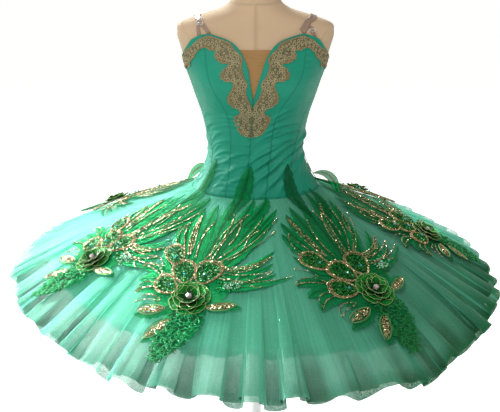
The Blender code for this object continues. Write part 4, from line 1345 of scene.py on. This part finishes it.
# The cords round a gold leaf, from outside in, and how many sequins are tried for inside it
LEAF_CORDS = ((1.25, "green_cord"), (1.1, "pale_and_lit_cord"), (0.9, "gold_cord"))
LEAF_SPOTS = 300
# The curly tail under the rose, from its tip up
PLUME = {
    "up": (-0.138, -0.120, -0.095, -0.070, -0.045, -0.020),
    "middle": (-0.020, -0.014, -0.006, 0.000, 0.004, 0.004),
    "half_width": (0.006, 0.020, 0.031, 0.037, 0.037, 0.030),
}
# Heaps of small beads beside the eyes: beads, middle across and up, spread, lift, size and look
BEAD_HEAPS = (
    (46, 0.068, 0.044, (0.013, 0.007), 0.0040, 0.0021, "mint"),
    (60, 0.064, 0.042, (0.014, 0.009), 0.0030, 0.0019, "green"),
)
PLUME_TUFTS = 380
# A tuft's heading fans out over the plume and strays from that. Higher ones take a lighter cord as a painted
# highlight
PLUME_FAN = 38
TUFT_STRAY = 24
TUFT_LENGTH = (0.008, 0.014)
TUFT_CURL = 2.6
LIT_FROM = 0.42
# Random shift of the tips, sizes of sequins, and how cloth is laid out across a leaf
TIP_JITTER = 0.003
NOTCH_LENGTH = 0.016
GOLD_SPACING = 0.0029
GOLD_SIZE = 0.0015
RIB_WIDTH = 0.16
LEAF_ROWS = 30
LEAF_ACROSS = np.array([1, 0.8, 0.4, 0, -0.4, -0.8, -1])


def disc(sides):
    """A shallow cupped sequin of radius 1."""
    points = np.concatenate([[[0, 0, 0.30]], ring(0.12 * UP, 1, RIGHT, -FRONT, sides)])
    return points, [(0, 1 + i, 1 + (i + 1) % sides) for i in range(sides)]


def bead():
    """A faceted bead of radius 1."""
    levels = [ring(level * UP, size, RIGHT, -FRONT, 6) for level, size in ((0.45, 0.85), (-0.35, 0.9))]
    faces = []
    for i in range(6):
        j = (i + 1) % 6
        faces += [(0, 1 + i, 1 + j), (1 + i, 7 + i, 7 + j), (1 + i, 7 + j, 1 + j), (13, 7 + j, 7 + i)]
    return np.concatenate([[UP], *levels, [-0.9 * UP]]), faces


DISC, BEAD = disc(6), bead()


class Backing(Batch):
    """An applique's tulle, with how far each point is rib and how dark it is, painted shade included."""

    def __init__(self):
        super().__init__()
        self.values = {"rib": [], "dark": []}
        self.maps = []

    def lay(self, points, rib, dark, place, closed=False):
        self.grid(points, "tulle", closed)
        shape = points.shape[:2]
        for key, value in (("rib", rib), ("dark", np.clip(dark, 0, 1))):
            self.values[key].append(np.broadcast_to(value, shape).ravel())
        self.maps.append(np.broadcast_to(place, (*shape, 2)).reshape(-1, 2))


class Trim(Batch):
    """Cords, sequins and beads on an applique."""

    def __init__(self, ground, rng):
        super().__init__()
        self.ground = ground
        self.rng = rng

    def cord(self, across, up, lift, radius, look, **settings):
        self.tube(self.ground.place(across, up, lift), radius, look, self.ground.out(across, up), **settings)

    def sew(self, across, up, lift, size, look, shape, tilt):
        """Sequins or beads sewn at these places, each a little askew."""
        out = self.ground.out(across, up)
        out = unit(out + tilt * self.rng.normal(size=out.shape))
        beside = self.ground.beside(across, up)
        beside = unit(beside - out * (beside * out).sum(-1, keepdims=True))
        frames = np.stack([beside, np.cross(out, beside), out], 1)
        self.scatter(*shape, self.ground.place(across, up, lift), frames, size, look)


def bent_line(start, end, bend, share):
    """Across and up along a bent line, with the directions to its left."""
    run = np.subtract(end, start)
    length = math.hypot(*run)
    aside = bend * 4 * share * (1 - share)
    slope = bend * 4 * (1 - 2 * share) / length
    x = start[0] + run[0] * share - run[1] / length * aside
    y = start[1] + run[1] * share + run[0] / length * aside
    turn = math.atan2(run[1], run[0]) + np.arctan(slope)
    return x, y, -np.sin(turn), np.cos(turn), length


def leaf_width(half_width, share, power=0.85):
    """Half widths of a leaf. A higher power puts its widest place nearer the tip."""
    return half_width * np.sin(math.pi * np.clip(share * 0.96 + 0.04, 0, 1) ** power) ** 0.75


def make_feathers(backing, rng, ground, number, shade):
    t = np.linspace(0, 1, LEAF_ROWS)
    for order, (x0, y0, x1, y1, half_width, bend, dark, power) in enumerate(FEATHERS):
        jitter = rng.normal(size=2) * TIP_JITTER
        moved = TIP_SHIFT.get(number, 0.0) if y1 > WORN_TIP else jitter[0]
        x, y, side_x, side_y, length = bent_line((x0, y0), (x1 + moved, y1 + jitter[1]), bend, t)
        notch = 1 - 0.22 * ((t * length / NOTCH_LENGTH + order * 0.3) % 1)
        edge = np.where(np.abs(LEAF_ACROSS) > 0.9, notch[:, None], 1.0) * LEAF_ACROSS
        edge = edge * leaf_width(half_width, t, power)[:, None]
        lift = 0.0010 * (1 - LEAF_ACROSS**2) + 0.00045 * (order % 4) + 0.0012 * np.sin(math.pi * t)[:, None]
        points = ground.place(x[:, None] + side_x[:, None] * edge, y[:, None] + side_y[:, None] * edge, lift)
        place = paired(LEAF_ACROSS * half_width, t[:, None] * length)
        backing.lay(points, bell(LEAF_ACROSS, RIB_WIDTH) * 0.9, dark + shade, place)


def make_free_leaf(backing, ground, number):
    """A leaf that stands free between skirt and bodice."""
    t = np.linspace(0, 1, LEAF_ROWS)[:, None]
    middle = FREE_LEAF[0]
    beside = ground.beside(middle, HEAD_UP)
    bow = WIDE_BOW.get(number, FREE_BOW) * (UP + ground.out(middle, HEAD_UP + 0.03))
    start, end = (ground.place(*at, 0.002) for at in (FREE_LEAF[:2], FREE_LEAF[2:]))
    bend = ground.place(middle, HEAD_UP, 0.0) + bow
    centre = (1 - t) ** 2 * start + 2 * t * (1 - t) * bend + t * t * end
    faced = unit(0.55 * beside + np.cross(unit(np.gradient(centre, axis=0)), beside))
    half = LEAF_ACROSS * leaf_width(FREE_HALF_WIDTH, t)
    rib = bell(LEAF_ACROSS, RIB_WIDTH) + bell(np.abs(LEAF_ACROSS) - 1, 0.12)
    points = centre[:, None] + half[..., None] * faced[:, None]
    backing.lay(points, rib, 0.0, paired(LEAF_ACROSS * FREE_HALF_WIDTH, t * 0.1))


def make_patch(backing, ground, dark):
    """The round of tulle under the rose and the eyes."""
    r, turn = np.linspace(1, 0.02, 16)[:, None], circle(72)
    rim = 0.080 + 0.010 * np.sin(3 * turn + 1) + 0.004 * np.sin(13 * turn)
    x, y = r * rim * np.cos(turn) - 0.016, r * rim * 0.85 * np.sin(turn) + 0.036
    backing.lay(ground.place(x, y, 0.0), 0.0, dark, paired(x, y), closed=True)


def make_plume_cloth(backing, ground, dark):
    """The tulle under the plume."""
    y = np.linspace(PLUME["up"][0], PLUME["up"][-1], 24)[:, None]
    middle, half = (read(PLUME, key, y, "up") for key in ("middle", "half_width"))
    x = middle + half * (1 + 0.10 * np.sin(y * 900)) * np.linspace(-1, 1, 9)
    backing.lay(ground.place(x, y, 0.0005), 0.0, dark, paired(x, y))


def make_applique(number, middle_angle):
    """The feather and flower applique: tulle feathers, gold sequin lines, eyes, leaves, plume and beads."""
    rng = np.random.default_rng(100 + number)
    ground = Ground(middle_angle)
    # Painted shade for appliques on the skirt's right side: darker tulle and a darker plume cord
    shade = 0.70 * float(right_side_shade(min(middle_angle, SHADE_END)))
    tulle = Backing()
    make_feathers(tulle, rng, ground, number, shade)
    if abs(middle_angle) > SIDE_ANGLE:
        make_free_leaf(tulle, ground, number)
    make_patch(tulle, ground, 0.15 + shade)
    make_plume_cloth(tulle, ground, 0.2 + shade)
    trim = Trim(ground, rng)
    make_gold_lines(trim)
    make_eyes(trim)
    make_leaves(trim)
    make_plume(trim, "shaded_plume_cord" if shade > 0.3 else "pale_and_lit_cord")
    for count, x, y, spread, lift, size, look in BEAD_HEAPS:
        heap = rng.normal(size=(count, 2)) * spread
        trim.sew(x + heap[:, 0], y + heap[:, 1], lift, size, look, BEAD, 0.1)
    values = {key: np.concatenate(parts) for key, parts in tulle.values.items()}
    backing = tulle.piece(f"applique_{number}_tulle", "applique_lace", (f"applique_{number}",), values,
                          np.concatenate(tulle.maps))
    beads = trim.piece(f"applique_{number}_beading", "applique_lace")
    rose = make_rose(number, ground)


def make_gold_lines(trim):
    """Sequins along the blades: one line, an outlined leaf or a filled one."""
    for x0, y0, x1, y1, half_width, bend, finish in GOLD_LINES:
        jitter = trim.rng.normal(size=2) * TIP_JITTER
        s = np.linspace(0, 1, int(math.hypot(x1 - x0, y1 - y0) / GOLD_SPACING))
        x, y, side_x, side_y, _ = bent_line((x0, y0), (x1 + jitter[0], y1 + jitter[1]), bend, s)
        half = leaf_width(half_width, s)
        for side in {"line": (0,), "outline": (-1, 1), "full": (-1, 0, 1)}[finish]:
            across, up = x + side * side_x * half, y + side * side_y * half
            trim.sew(across, up, 0.0042, GOLD_SIZE, "gold", DISC, 0.50)
            path = trim.ground.place(across + 0.0014, up, 0.0034)
            trim.tube(path, 0.0006, "green_cord", trim.ground.out(across, up))
        if finish == "full":
            aside = trim.rng.uniform(-0.8, 0.8, len(s)) * half
            trim.sew(x + aside * side_x, y + aside * side_y, 0.0040, GOLD_SIZE, "gold", DISC, 0.4)


def make_eyes(trim):
    """Teardrop feather eyes: a gold rim round dark sequins, with a stone at the end near the rose."""
    rng = trim.rng
    turn = circle(64)
    for x, y, size in zip(EYES["across"], EYES["up"], EYES["size"]):

        def outline(scale, at):
            a = size * scale * np.cos(at)
            b = size * EYE_BREADTH * scale * np.sin(at) * (1 - EYE_TAPER * np.cos(at))
            a, b = turned(a, b, math.atan2(-y, -x))
            return x + a, y + b

        far = (1 - np.cos(turn)) / 2
        for inset, radius, lift in EYE_CORDS:
            rim = outline(1.05 - inset * (0.07 + 0.17 * far), turn)
            trim.cord(*rim, lift, radius, "gold_cord", sides=6, closed=True)
        at = rng.uniform(0, 2 * math.pi, EYE_GOLD)
        rim = outline(1.06 - rng.uniform(0, 1, EYE_GOLD) * (0.08 + 0.085 * (1 - np.cos(at))), at)
        trim.sew(*rim, rng.uniform(0.0050, 0.0064, EYE_GOLD), 0.0014, "gold", DISC, 0.7)
        inside = outline(np.sqrt(rng.uniform(0, 0.72, EYE_GREEN)), rng.uniform(0, 2 * math.pi, EYE_GREEN))
        trim.sew(*inside, 0.0062, 0.0020, "green", DISC, 0.5)
        trim.sew(*outline(np.array([0.34]), np.zeros(1)), 0.0088, 0.0032, "aqua", BEAD, 0.05)


def make_leaves(trim):
    """Leaves filled with gold sequins inside a double green line."""
    t = np.linspace(-1, 1, 50)
    for x, y, direction, half_length, half_width in GOLD_LEAVES:
        turn = math.radians(direction)
        half = half_width * (1 - t * t) ** 0.8
        for side in (-1, 1):
            for scale, look in LEAF_CORDS:
                a, b = turned(t * half_length, side * half * scale, turn)
                trim.cord(x + a, y + b, 0.0046, 0.0007, look)
        spots = trim.rng.uniform(-1, 1, (LEAF_SPOTS, 2))
        spots = spots[np.abs(spots[:, 1]) < (1 - spots[:, 0] ** 2) ** 0.8 * 0.6]
        a, b = turned(spots[:, 0] * half_length * 0.9, spots[:, 1] * half_width, turn)
        trim.sew(x + a, y + b, 0.0052, 0.0016, "gold", DISC, 0.45)


def make_plume(trim, bright):
    """The curly tail under the rose: tufts of short hooked cords."""
    rng = trim.rng
    t = np.linspace(0, 1, 6)
    for _ in range(PLUME_TUFTS):
        up = rng.uniform(PLUME["up"][0], PLUME["up"][-1])
        middle, half = (float(read(PLUME, key, up, "up")) for key in ("middle", "half_width"))
        part = rng.uniform(-1, 1)
        heading = math.radians(-90 + PLUME_FAN * part + rng.normal() * TUFT_STRAY)
        length, curl = rng.uniform(*TUFT_LENGTH), rng.uniform(-TUFT_CURL, TUFT_CURL)
        direction = heading + curl * t
        step = length / (len(t) - 1)
        x = middle + 0.80 * half * part + np.cumsum(np.cos(direction)) * step
        y = up + np.cumsum(np.sin(direction)) * step
        height = rng.uniform(0, 1)
        lift = 0.0018 + 0.0030 * height + 0.0022 * np.sin(math.pi * t)
        # Painted highlight: the higher tufts take the lighter cord
        look = bright if height > LIT_FROM else "green_cord"
        trim.cord(x, y, lift, 0.0010 * (1 - 0.4 * t), look)


# Petal rings of the rose: petals, length and half width as shares of its radius, foot, tip height and
# first direction
PETAL_RINGS = (
    (7, 1.00, 0.44, 0.0030, 0.35, 12),
    (6, 0.76, 0.40, 0.0048, 0.70, 40),
    (5, 0.50, 0.36, 0.0068, 0.95, 8),
)
PETAL_WIRE = 0.0004
ROSE_STONE_LIFT = 0.0125
ROSE_STONE = 0.0066


def make_rose(number, ground):
    """A rose of cupped organza petals with gold wire edges and a stone at its heart."""
    rng = np.random.default_rng(number)
    rose = Trim(ground, rng)
    shades = []
    t, w = np.linspace(0.12, 1, 12)[:, None], np.linspace(1, -1, 11)
    bulge = np.sqrt(np.clip(1 - ((t - 0.58) / 0.60) ** 2, 0, 1))
    cup = 0.55 * t**2 + 0.30 * w * w * bulge
    # Painted shade: the petals darker towards the rose's heart and their sides, lighter towards their tips
    shade = np.clip(t**2 * 0.9 - 0.2 * np.abs(w), 0, 1).ravel()
    for petals, length, width, foot, tip, first in PETAL_RINGS:
        for i in range(petals):
            turn = math.radians(first + 360 * (i + 0.12 * rng.normal()) / petals)
            reach = ROSE_RADIUS * length * rng.uniform(0.92, 1.06)
            x, y = turned(reach * t * (1 - 0.05 * w * w), ROSE_RADIUS * width * bulge * w, turn)
            lift = foot + (ROSE_HEIGHT - 0.004) * tip * cup + 0.0007 * np.sin(9 * w + i) * t
            points = ground.place(x, y, lift)
            rose.grid(points, "organza")
            shades.append(shade)
            rim = np.concatenate([points[1:-1, 0], points[-1], points[1:-1, -1][::-1]])
            outward = np.broadcast_to(ground.out(x[-1, 5:6], y[-1, 5:6]), rim.shape)
            before = rose.count
            rose.tube(rim, PETAL_WIRE, "petal_wire", outward)
            shades.append(np.zeros(rose.count - before))
    before = rose.count
    rose.sew(np.zeros(1), np.zeros(1), ROSE_STONE_LIFT, ROSE_STONE, "crystal", BEAD, 0.02)
    shades.append(np.zeros(rose.count - before))
    values = {"rib": np.concatenate(shades)}
    return rose.piece(f"rose_{number}_petals", "rose_organza", (f"rose_{number}",), values)


make_camera()
make_studio()
make_form()
make_stand()
panel_number = 0
for side, word in ((-1, "left"), (1, "right")):
    for panel in PANELS:
        panel_number += 1
        make_panel(panel, side, word, panel_number)
    make_binding(side, word)
    make_lace(side, word)
make_insert()
make_placket()
make_straps()
make_sliders()
make_yoke()
for layer in NET_LAYERS:
    make_net(layer, "long_net" if layer in ("overlay_net", "long_net") else "short_net")
for number, angle in enumerate(APPLIQUE_ANGLES, 1):
    make_applique(number, angle)
